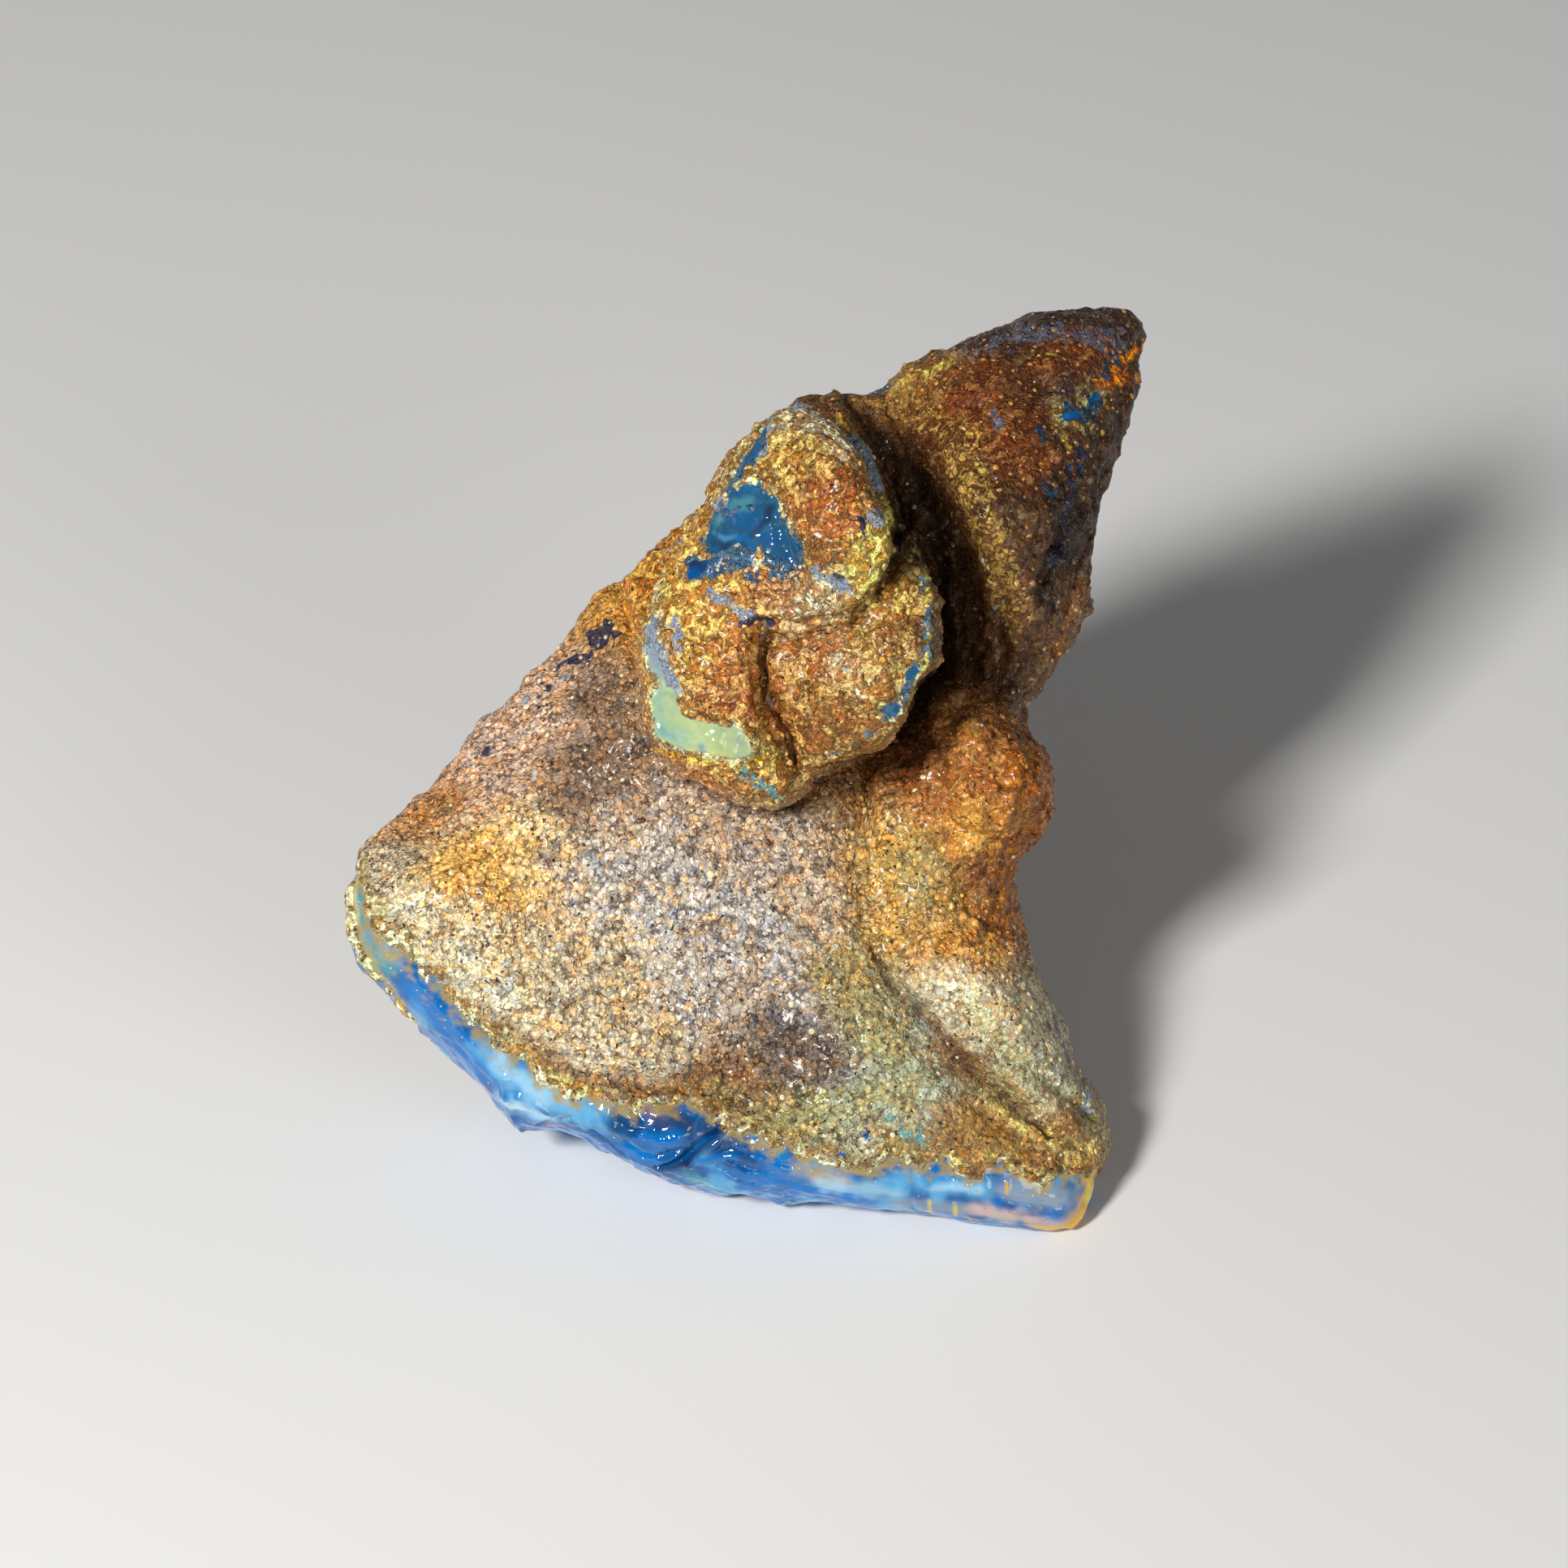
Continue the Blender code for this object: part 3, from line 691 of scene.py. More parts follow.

# %% [markdown]
# ## The colours of the stone
# A small palette of named colours, as a painter would mix them, is enough. The crust's ground colour
# comes from named places on the face, each with one of these colours, and every point takes a blend of
# the nearest ones; in the deep hollow and a dent at the right the ground is dark as painted shade.
# Strokes of colour then go over it, for veins, stains and the tinted edge, for painted shade in grooves
# and creases, and for painted light: brighter on the neck in the knob's shadow, yellow and orange where
# light comes through thin lips and the fin's tip, and a highlight along the fin's top edge.

# %% The palette
CREAM = (0.62, 0.50, 0.30)
PALE_CREAM = (0.78, 0.69, 0.44)
PALE_GOLD = (0.88, 0.62, 0.28)
GOLD = (0.78, 0.43, 0.09)
OCHRE = (0.60, 0.36, 0.08)
DARK_OCHRE = (0.38, 0.20, 0.045)
ORANGE = (0.68, 0.32, 0.05)
BURNT_ORANGE = (0.46, 0.15, 0.005)
RUST = (0.52, 0.21, 0.05)
BRICK = (0.58, 0.27, 0.08)
BURNT = (0.24, 0.075, 0.014)
PINK_TAN = (0.70, 0.47, 0.32)
PINK_BROWN = (0.22, 0.14, 0.085)
TAUPE = (0.52, 0.40, 0.28)
GREY = (0.54, 0.48, 0.40)
GREY_BLUE = (0.24, 0.30, 0.36)
PURPLE_BROWN = (0.19, 0.14, 0.11)
SLATE = (0.075, 0.055, 0.05)
OLIVE = (0.38, 0.32, 0.13)
OLIVE_GREY = (0.42, 0.42, 0.29)
PALE_OLIVE = (0.60, 0.56, 0.36)
MOSS = (0.44, 0.47, 0.22)
YELLOW = (0.62, 0.50, 0.10)
STRAW = (0.72, 0.58, 0.16)
TAWNY = (0.42, 0.29, 0.04)
STEEL = (0.07, 0.13, 0.16)
UMBER = (0.24, 0.11, 0.03)
DARK_UMBER = (0.09, 0.04, 0.012)
NEAR_BLACK = (0.025, 0.012, 0.006)
NAVY = (0.012, 0.022, 0.06)
DUSK = (0.10, 0.10, 0.13)
PETROL = (0.015, 0.09, 0.18)
DARK_PETROL = (0.008, 0.045, 0.08)
DEEP_BLUE = (0.0, 0.09, 0.30)
INDIGO = (0.003, 0.045, 0.16)
AZURE = (0.0, 0.16, 0.50)
SKY = (0.09, 0.40, 0.68)
PALE_SKY = (0.36, 0.64, 0.82)
ICE = (0.55, 0.80, 0.90)
TEAL = (0.08, 0.32, 0.36)
MINT = (0.42, 0.53, 0.24)
SEA_GREEN = (0.26, 0.46, 0.34)
LILAC = (0.26, 0.33, 0.42)
PEACH = (0.60, 0.44, 0.36)
HONEY = (0.72, 0.40, 0.02)
BACKLIT_ORANGE = (0.80, 0.24, 0.0)

# %% Ground colours of the crust, with painted shade in the deep hollow
# Picture places, each with the colour that the crust has around it; in the deep hollow beside the knob and in the dent
# at the right it is dark as painted shade.
GROUNDS_AND_PAINTED_SHADE = [
    (GOLD, [(600, 1050), (560, 1075), (620, 1090)]),
    (PALE_GOLD, [(650, 1046), (640, 1030), (660, 1060)]),
    (BRICK, [(520, 1015), (560, 985)]),
    (ORANGE, [(760, 730), (790, 715), (776, 700)]),
    (PINK_TAN, [(590, 940), (620, 960), (600, 985), (670, 870), (690, 900), (650, 910)]),
    (PINK_BROWN, [(740, 960), (780, 930), (710, 930), (720, 870), (700, 985)]),
    (CREAM, [(480, 1060), (470, 1100), (540, 1140), (600, 1160), (640, 1180), (700, 1230), (760, 1270), (820, 1290), (760, 1180)]),
    (PALE_CREAM, [(500, 1130), (560, 1180), (620, 1225)]),
    (GREY, [(730, 1080), (800, 1130), (830, 1050), (900, 1110), (880, 1180), (950, 1160), (860, 1240)]),
    (TAUPE, [(900, 1030), (960, 1050), (990, 1100), (760, 1010), (930, 1220), (840, 1000), (1020, 1150)]),
    (PURPLE_BROWN, [(960, 1250), (1000, 1285), (970, 1315), (1020, 1315)]),
    (OLIVE, [(1060, 1230), (1040, 1180), (1000, 1370), (1090, 1280), (950, 1370)]),
    (OLIVE_GREY, [(1080, 1330), (1120, 1370), (1060, 1390), (1150, 1330), (1130, 1250), (1030, 1410)]),
    (UMBER, [(900, 1350), (860, 1336), (930, 1350)]),
    (DARK_OCHRE, [(1240, 1420), (1320, 1380), (1200, 1385), (1170, 1400)]),
    (PALE_CREAM, [(1200, 1230), (1180, 1210), (1224, 1250)]),
    (PALE_OLIVE, [(1270, 1280), (1290, 1300), (1300, 1340), (1280, 1250)]),
    (OLIVE, [(1330, 1370), (1240, 1340), (1110, 1410)]),
    (UMBER, [(1180, 1300)]),
    (OCHRE, [(1100, 1080), (1120, 1040), (1090, 1150), (1160, 1100)]),
    (OLIVE, [(1130, 1060), (1140, 1100)]),
    (ORANGE, [(1200, 1010), (1180, 1030), (1170, 1160), (1210, 1176)]),
    (BURNT_ORANGE, [(1260, 965), (1280, 960), (1250, 1030), (1240, 1070), (1230, 1130), (1270, 1020)]),
    (RUST, [(1150, 990), (1210, 960), (1200, 930)]),
    (BRICK, [(1180, 900), (1200, 866)]),
    (BURNT, [(1200, 1080), (1240, 900), (1160, 930), (1130, 960)]),
    # painted shade: dark umber where the knob's shadow falls and down the deep hollow beside it
    (DARK_UMBER, [(1240, 850), (1170, 850), (1200, 820)]),
    (DARK_UMBER, [(1110, 620), (1130, 700), (1150, 780), (1140, 850), (1090, 540), (1160, 640), (1170, 720)]),
    (DARK_UMBER, [(1190, 780), (1190, 700), (1120, 540)]),
    (UMBER, [(1200, 600), (1220, 660), (1230, 720), (1250, 760), (1180, 560), (1220, 800)]),
    (DARK_UMBER, [(1210, 630), (1260, 690), (1270, 800), (1240, 620)]),
    # painted shade: near black in the dent at the right of the shoulder
    (NEAR_BLACK, [(1310, 690), (1330, 640), (1300, 600), (1296, 740)]),
    (UMBER, [(1320, 740), (1310, 790), (1290, 820)]),
    (BURNT, [(1130, 510), (1180, 500), (1210, 480), (1240, 520), (1210, 540), (1270, 570), (1290, 560)]),
    (DARK_OCHRE, [(1110, 480), (1140, 465)]),
    (UMBER, [(1180, 455)]),
    (DARK_UMBER, [(1260, 480), (1300, 540), (1340, 600), (1350, 560), (1250, 440)]),
    (SLATE, [(1200, 432), (1300, 395), (1250, 412), (1340, 395), (1380, 410), (1320, 480), (1340, 500)]),
    (BURNT, [(1320, 440), (1350, 430), (1220, 450), (1290, 450)]),
    (DARK_UMBER, [(1380, 480), (1390, 400), (1376, 520), (1390, 440)]),
    (GOLD, [(850, 720), (830, 700), (850, 740), (870, 760)]),
    (OCHRE, [(850, 790), (890, 760), (1000, 530), (960, 560), (830, 650), (870, 810), (990, 560)]),
    (CREAM, [(1000, 515), (1030, 530), (1010, 725), (990, 740)]),
    (YELLOW, [(1066, 700), (1084, 690), (930, 936), (820, 720)]),
    (RUST, [(1010, 610), (1030, 640), (1000, 650), (890, 850), (900, 810), (1040, 600)]),
    (RUST, [(920, 870), (1010, 820), (960, 720), (960, 890), (870, 958), (930, 960)]),
    (DARK_OCHRE, [(1010, 860), (1020, 846), (1060, 876), (1080, 780), (1110, 790), (1040, 900), (1000, 900)]),
    (DARK_OCHRE, [(1000, 690), (1016, 690)]),
    (OCHRE, [(1050, 840), (1110, 720), (1100, 750), (1060, 800)]),
    (TAUPE, [(1040, 820)]),
]
GROUND_SPREAD = 1.2 * MM
BACK_COLOURS = [CREAM, OCHRE, UMBER, TAUPE, OLIVE, RUST, DARK_UMBER]


def crust_ground(points):
    """The crust's ground colour at each point, blended from the nearest named places."""
    totals = np.zeros((len(points), 3))
    weights = np.zeros(len(points))
    for colour, marks in GROUNDS_AND_PAINTED_SHADE:
        for mark in on_surface(marks):
            apart = ((points - mark) ** 2).sum(axis=1)
            weight = 1.0 / (apart + GROUND_SPREAD**2) ** 2
            totals += weight[:, None] * np.array(colour)
            weights += weight
    return totals / weights[:, None]


def back_ground(points):
    """The crust's colour where the picture doesn't show it: the same earths, in broad soft patches."""
    totals = np.zeros((len(points), 3))
    weights = np.zeros(len(points))
    for number, colour in enumerate(BACK_COLOURS):
        weight = np.exp(3.0 * variation(points, 7.0, seed=40 + number, octaves=3))
        totals += weight[:, None] * np.array(colour)
        weights += weight
    return totals / weights[:, None]


# %% [markdown]
# A stroke of paint has a colour, a half width, a strength and a line. Its edge wanders, so that a vein
# looks grown and not drawn.

# %% Stains, painted shade and light, and films
STAINS_AND_PAINTED_LIGHT = [
    (YELLOW, 0.7, 0.8, [(1066, 690), (1080, 660), (1092, 640)]),
    # the yellow along the thin lips of the lobes is partly the resin's colour, partly painted light coming through the
    # lips
    (YELLOW, 0.30, 0.9, [(1034, 516), (1058, 554), (1084, 607), (1096, 645), (1088, 677), (1072, 716), (1050, 745)]),
    (YELLOW, 0.4, 0.7, [(1146, 776), (1144, 816), (1126, 840), (1112, 880), (1080, 912), (1040, 934)]),
    (YELLOW, 0.35, 0.8, [(1130, 676), (1140, 709), (1144, 740)]),
    (OLIVE_GREY, 0.5, 0.7, [(912, 690), (932, 694)]),
    (OLIVE_GREY, 0.35, 0.7, [(1036, 820), (1050, 828)]),
    # painted shade: dark umber in the groove between the lobes, under the upper lobe's step and in the hollow under the
    # knob
    (DARK_UMBER, 0.45, 0.9, [(944, 780), (934, 803), (936, 842), (953, 884), (967, 912), (978, 940)]),
    (DARK_UMBER, 0.30, 0.8, [(1040, 770), (1010, 777), (975, 783), (950, 780)]),
    (DARK_UMBER, 0.5, 0.7, [(850, 962), (884, 976), (920, 996), (956, 1004), (990, 990), (1014, 966)]),
    (PALE_CREAM, 0.28, 0.95, [(962, 762), (984, 758)]),
    (PALE_CREAM, 0.25, 0.9, [(1054, 850), (1062, 856)]),
    (PALE_CREAM, 0.9, 0.7, [(1004, 524), (1026, 530), (1044, 560)]),
    (CREAM, 0.7, 0.6, [(808, 726), (812, 760), (826, 800)]),
    (CREAM, 0.5, 0.6, [(906, 548), (884, 590)]),
    (CREAM, 0.6, 0.5, [(1000, 730), (1020, 736)]),
    (HONEY, 0.25, 0.9, [(806, 922), (830, 930), (868, 936), (905, 940), (936, 938)]),
    (HONEY, 0.18, 0.8, [(792, 800), (792, 850), (798, 900)]),
    # islands of the left tip, with rust at the outside
    (STRAW, 1.2, 0.95, [(436, 1090), (440, 1140), (456, 1180), (480, 1222), (506, 1256)]),
    (GOLD, 0.5, 0.7, [(430, 1100), (434, 1140), (446, 1176)]),
    (BURNT, 0.30, 0.8, [(422, 1096), (424, 1130), (430, 1160), (444, 1190), (462, 1216)]),
    # gold band and pink spots of the upper left edge
    (GOLD, 0.9, 0.6, [(580, 1060), (620, 1050), (650, 1046)]),
    (PINK_BROWN, 0.6, 0.7, [(668, 1058), (684, 1044)]),
    # bands of the face
    (GREY, 1.2, 0.5, [(690, 1070), (720, 1090), (740, 1130)]),
    (GREY, 0.9, 0.5, [(800, 1100), (830, 1130), (880, 1180)]),
    (GREY, 0.9, 0.5, [(920, 1180), (960, 1200), (990, 1240)]),
    (OLIVE, 0.7, 0.6, [(1010, 1200), (1030, 1230), (1060, 1260)]),
    # creases of the lower right, with painted shade of dark umber in them
    (DARK_UMBER, 0.50, 0.70, [(1076, 1180), (1100, 1216), (1146, 1260), (1176, 1300), (1236, 1350), (1290, 1402)]),
    (PALE_CREAM, 0.8, 0.6, [(1262, 1240), (1278, 1262), (1286, 1290)]),
    # painted light: a brighter orange on the neck, where the knob's shadow falls
    (ORANGE, 0.9, 0.6, [(1172, 890), (1190, 905)]),
    (DARK_OCHRE, 0.5, 0.6, [(1104, 838), (1112, 860)]),
    # painted shade of dark umber at the crease's lower end
    (DARK_UMBER, 0.40, 0.70, [(1290, 1402), (1310, 1410), (1330, 1416)]),
    (BRICK, 0.22, 0.90, [(1124, 1234), (1150, 1256), (1190, 1276)]),
    (MOSS, 1.4, 0.55, [(980, 1376), (1030, 1370), (1070, 1350), (1110, 1350)]),
    (MOSS, 1.0, 0.45, [(1060, 1270), (1100, 1310), (1140, 1330)]),
    (MOSS, 0.8, 0.50, [(1200, 1240), (1260, 1310)]),
    (STRAW, 0.38, 0.95, [(1226, 1362), (1260, 1390), (1288, 1408), (1327, 1423)]),
    (STRAW, 0.30, 0.95, [(1293, 1392), (1320, 1408), (1342, 1424)]),
    (GOLD, 0.7, 0.9, [(1322, 1434), (1344, 1420), (1349, 1440)]),
    (STRAW, 0.4, 0.9, [(1336, 1420), (1352, 1408)]),
    (STRAW, 0.6, 0.7, [(600, 1270), (640, 1300), (680, 1330), (730, 1345)]),
    (ORANGE, 0.6, 0.7, [(1150, 1168), (1190, 1160), (1226, 1166)]),
    (GOLD, 0.35, 0.7, [(1160, 1180), (1200, 1176), (1230, 1182)]),
    # pitted gutter behind the crust's edge
    (UMBER, 0.6, 0.7, [(599, 1244), (614, 1261), (638, 1273), (690, 1308), (720, 1330), (779, 1336)]),
    (UMBER, 0.5, 0.8, [(780, 1350), (812, 1346), (850, 1350)]),
    (OLIVE, 0.9, 0.5, [(880, 1340), (930, 1370), (980, 1390), (1040, 1410)]),
    # the fin
    # the yellow along the fin's top edge is partly the resin's colour, partly a painted highlight
    (YELLOW, 0.35, 0.8, [(1100, 482), (1130, 462), (1170, 450)]),
    (YELLOW, 0.15, 0.9, [(1260, 434), (1276, 440), (1300, 438)]),
    (YELLOW, 0.3, 0.5, [(1300, 524), (1312, 540), (1318, 552)]),
    # painted light: the orange of light coming through the fin's thin tip
    (BACKLIT_ORANGE, 0.45, 0.95, [(1406, 424), (1405, 446), (1400, 466)]),
]

FILMS = [
    # dark pits of the left shoulder
    (NAVY, 0.6, 0.85, [(730, 782), (744, 774), (758, 784)]),
    (NAVY, 0.5, 0.8, [(726, 796), (744, 796)]),
    (NAVY, 0.5, 0.75, [(686, 826), (706, 816), (726, 810)]),
    (NAVY, 0.4, 0.7, [(664, 842), (682, 848)]),
    (NAVY, 0.4, 0.6, [(574, 900), (590, 888)]),
    (GREY_BLUE, 0.6, 0.5, [(640, 868), (668, 850), (700, 836)]),
    # blue films of the knob
    (GREY_BLUE, 0.8, 0.65, [(884, 620), (900, 600), (926, 566), (950, 530), (985, 500)]),
    (PETROL, 0.8, 0.7, [(940, 540), (918, 574), (898, 604)]),
    (PETROL, 1.5, 0.85, [(884, 660), (900, 632), (930, 624), (952, 656), (976, 680)]),
    (PETROL, 0.7, 0.7, [(850, 690), (866, 706), (884, 700)]),
    (PETROL, 0.5, 0.6, [(900, 700), (940, 712), (980, 706)]),
    (PETROL, 1.0, 0.75, [(880, 678), (904, 684), (924, 694)]),
    (GREY_BLUE, 0.7, 0.85, [(1052, 540), (1066, 556), (1080, 594), (1082, 640)]),
    (NAVY, 0.35, 0.7, [(1058, 640), (1066, 662)]),
    (GREY_BLUE, 0.5, 0.65, [(1004, 700), (1024, 716), (1044, 728)]),
    (NAVY, 0.3, 0.6, [(1016, 700), (1036, 712)]),
    (GREY_BLUE, 0.4, 0.5, [(1002, 530), (1016, 540)]),
    (GREY_BLUE, 0.6, 0.6, [(880, 730), (900, 742), (924, 764)]),
    (NAVY, 0.4, 0.8, [(916, 770), (938, 760), (950, 764)]),
    (STEEL, 0.5, 0.6, [(1128, 820), (1112, 862), (1092, 884)]),
    (STEEL, 0.4, 0.6, [(1134, 700), (1144, 760), (1142, 810)]),
    (STEEL, 0.5, 0.5, [(1080, 896), (1050, 918), (1020, 930)]),
    (TEAL, 0.5, 0.5, [(968, 976), (940, 968), (912, 950)]),
    (PETROL, 0.3, 0.8, [(1006, 966), (1020, 972)]),
    (GREY_BLUE, 1.0, 0.75, [(800, 770), (812, 810), (826, 850)]),
    (LILAC, 0.5, 0.6, [(830, 770), (838, 800)]),
    (TEAL, 0.35, 0.5, [(796, 728), (810, 710)]),
    (GREY_BLUE, 0.4, 0.5, [(820, 690), (840, 660)]),
    # blue grey films of the face
    (GREY_BLUE, 1.0, 0.32, [(700, 1060), (720, 1080), (742, 1092)]),
    (GREY_BLUE, 1.6, 0.28, [(820, 1040), (850, 1110), (880, 1180)]),
    (GREY_BLUE, 1.2, 0.30, [(940, 1250), (980, 1280), (1000, 1310)]),
    (GREY_BLUE, 0.8, 0.30, [(1040, 1150), (1070, 1200), (1100, 1250)]),
    # blue spots of the lower right
    (DEEP_BLUE, 0.25, 0.9, [(1086, 1320), (1091, 1321)]),
    (DEEP_BLUE, 0.30, 0.9, [(1064, 1400), (1070, 1403)]),
    (DEEP_BLUE, 0.25, 0.9, [(1036, 1423), (1042, 1424)]),
    (TEAL, 0.6, 0.45, [(1100, 1380), (1130, 1400), (1160, 1410)]),
    (NAVY, 0.25, 0.8, [(1156, 1380), (1158, 1384)]),
    (GREY_BLUE, 0.6, 0.8, [(1330, 1336), (1340, 1358)]),
    (DUSK, 0.5, 0.8, [(1297, 1254), (1305, 1280), (1314, 1306)]),
    # the fin
    (DARK_PETROL, 0.8, 0.75, [(1316, 508), (1334, 512), (1350, 494)]),
    (DARK_PETROL, 0.5, 0.6, [(1278, 530), (1284, 540)]),
    (DARK_PETROL, 0.8, 0.5, [(1360, 460), (1372, 440)]),
    (DUSK, 0.5, 0.7, [(1222, 512), (1232, 524)]),
    (NAVY, 0.35, 0.8, [(1292, 402), (1296, 404)]),
    (DUSK, 1.2, 0.55, [(1230, 426), (1280, 410), (1330, 420), (1370, 420)]),
    (PETROL, 0.45, 0.7, [(1074, 488), (1096, 474)]),
    (NAVY, 1.0, 0.5, [(1330, 560), (1316, 620), (1300, 690)]),
    (DARK_PETROL, 0.6, 0.5, [(1290, 600), (1300, 640)]),
]


def cover_of(points, width, line, wander, soft=0.35):
    """How much a stroke of this half width covers each point, with a wandering edge, soft or hard."""
    away = distance_to(points, on_surface(line)) + 0.45 * width * wander
    return 1.0 - ramp((0.9 - soft) * width, (0.9 + soft) * width, away)


def paint(colours, points, strokes, wander, soft=0.35):
    """Lays each stroke's colour over the colours."""
    for colour, width, strength, line in strokes:
        cover = strength * cover_of(points, width, line, wander, soft)
        colours += (np.array(colour) - colours) * cover[:, None]
    return colours


def keep_colour(piece, name, colours, strength=None):
    """Stores a colour for each point, which the material reads by this name."""
    layer = piece.data.color_attributes.new(name, "FLOAT_COLOR", "POINT")
    if strength is None:
        strength = np.ones(len(colours))
    flat = np.column_stack([np.clip(colours, 0.0, 1.0), strength])
    layer.data.foreach_set("color", flat.ravel())


def keep_value(piece, name, values):
    """Stores a number for each point, which the material reads by this name."""
    layer = piece.data.attributes.new(name, "FLOAT", "POINT")
    layer.data.foreach_set("value", np.ascontiguousarray(values, dtype=np.float32))


def crust_colour(points, facing):
    """The crust's colour at each point, on the side that faces the camera and on the others."""
    shown = ramp(-0.35, 0.15, facing)[:, None]
    ground = crust_ground(points)
    ground += (back_ground(points) - ground) * (1.0 - shown)
    edge = 1.0 - ramp(0.3, 1.5, crust_depth(points) + 0.3 * variation(points, 1.1, seed=52, octaves=2))
    patchy = ramp(-0.6, 0.1, variation(points, 0.8, seed=54, octaves=2))[:, None]
    zone = np.array(UMBER) + (np.array(STRAW) * 0.75 - np.array(UMBER)) * patchy
    ground += (zone - ground) * (0.65 * edge)[:, None]
    colours = paint(ground, points, STAINS_AND_PAINTED_LIGHT, variation(points, 0.7, seed=51, octaves=2))
    teeth = 1.0 - ramp(0.05, 0.40, crust_depth(points) + 0.15 * variation(points, 0.6, seed=55))
    return colours + (np.array(PALE_OLIVE) - colours) * (0.75 * teeth)[:, None]


# Where yellow flakes and painted golden glints lie on dark crust: how many, half width in millimetres, and the line.
GLINTS_AND_FLAKES = [
    (0.66, 2.0, [(1180, 560), (1200, 620), (1226, 690), (1250, 760)]),
    (0.30, 1.5, [(1130, 470), (1180, 452), (1230, 440), (1290, 440)]),
    (0.60, 1.6, [(1110, 500), (1150, 520), (1200, 540)]),
    (0.35, 1.6, [(1280, 540), (1300, 520), (1330, 560)]),
    (0.30, 1.4, [(1110, 560), (1150, 650), (1176, 740), (1190, 820)]),
    (0.50, 1.2, [(1310, 740), (1300, 790), (1270, 830)]),
    (0.45, 2.0, [(1180, 930), (1230, 960), (1260, 990)]),
    (0.50, 2.0, [(1110, 1040), (1140, 1090), (1180, 1130)]),
    (0.40, 1.2, [(1230, 1010), (1240, 1070), (1240, 1130)]),
    (0.40, 2.4, [(840, 700), (860, 780), (900, 850)]),
    (0.45, 2.0, [(990, 560), (1020, 620), (1040, 690)]),
    (0.35, 2.2, [(1000, 820), (1050, 850), (1100, 780)]),
    (0.45, 1.0, [(900, 950), (940, 970), (960, 985)]),
]


def glints_and_flakes_at(points, facing):
    """How many yellow flakes and painted glints lie on the crust at each point."""
    most = 0.35 * (1.0 - ramp(-0.4, 0.0, facing))
    for strength, width, line in GLINTS_AND_FLAKES:
        most = np.maximum(most, strength * cover_of(points, width, line, 0.0))
    return most


def film_colour(points):
    """The colour and the strength of the blue films that lie on the crust."""
    colours = np.tile(np.array(GREY_BLUE), (len(points), 1))
    strength = np.zeros(len(points))
    wander = variation(points, 1.2, seed=53, octaves=2)
    for colour, width, most, line in FILMS:
        cover = most * cover_of(points, width, line, wander)
        colours += (np.array(colour) - colours) * (cover > strength)[:, None]
        strength = np.maximum(strength, cover)
    return colours, strength


def sandiness(points, facing):
    """How much of the crust is loose sand at each point: the face is, the knob, the fin and the edge aren't."""
    seen = picture_places(points)
    knob = np.maximum(depth_inside(points, LOBES[0][6]), depth_inside(points, LOBES[2][6]))
    on_knob = ramp(-0.6, 0.4, knob) * ramp(-0.3, 0.1, facing)
    right = ramp(1100, 1180, seen[:, 0]) * (1.0 - ramp(1040, 1200, seen[:, 1]))
    on_fin = ramp(1080, 1140, seen[:, 0]) * (1.0 - ramp(560, 700, seen[:, 1]))
    corner = ramp(1040, 1160, seen[:, 0]) * ramp(1150, 1250, seen[:, 1])
    sand = (1.0 - on_knob) * (1.0 - 0.6 * right) * (1.0 - 0.9 * on_fin) * (1.0 - 0.45 * corner)
    sand *= ramp(0.35, 1.4, crust_depth(points))
    return sand + (0.6 * ramp(0.3, 1.0, crust_depth(points)) - sand) * (1.0 - ramp(-0.4, 0.0, facing))


crust_points = points_of(crust)
crust_facing = normals_of(crust) @ OUT_OF_FACE
keep_colour(crust, "ground", crust_colour(crust_points, crust_facing))
keep_colour(crust, "film", *film_colour(crust_points))
keep_value(crust, "sand", sandiness(crust_points, crust_facing))
keep_value(crust, "gold", glints_and_flakes_at(crust_points, crust_facing))
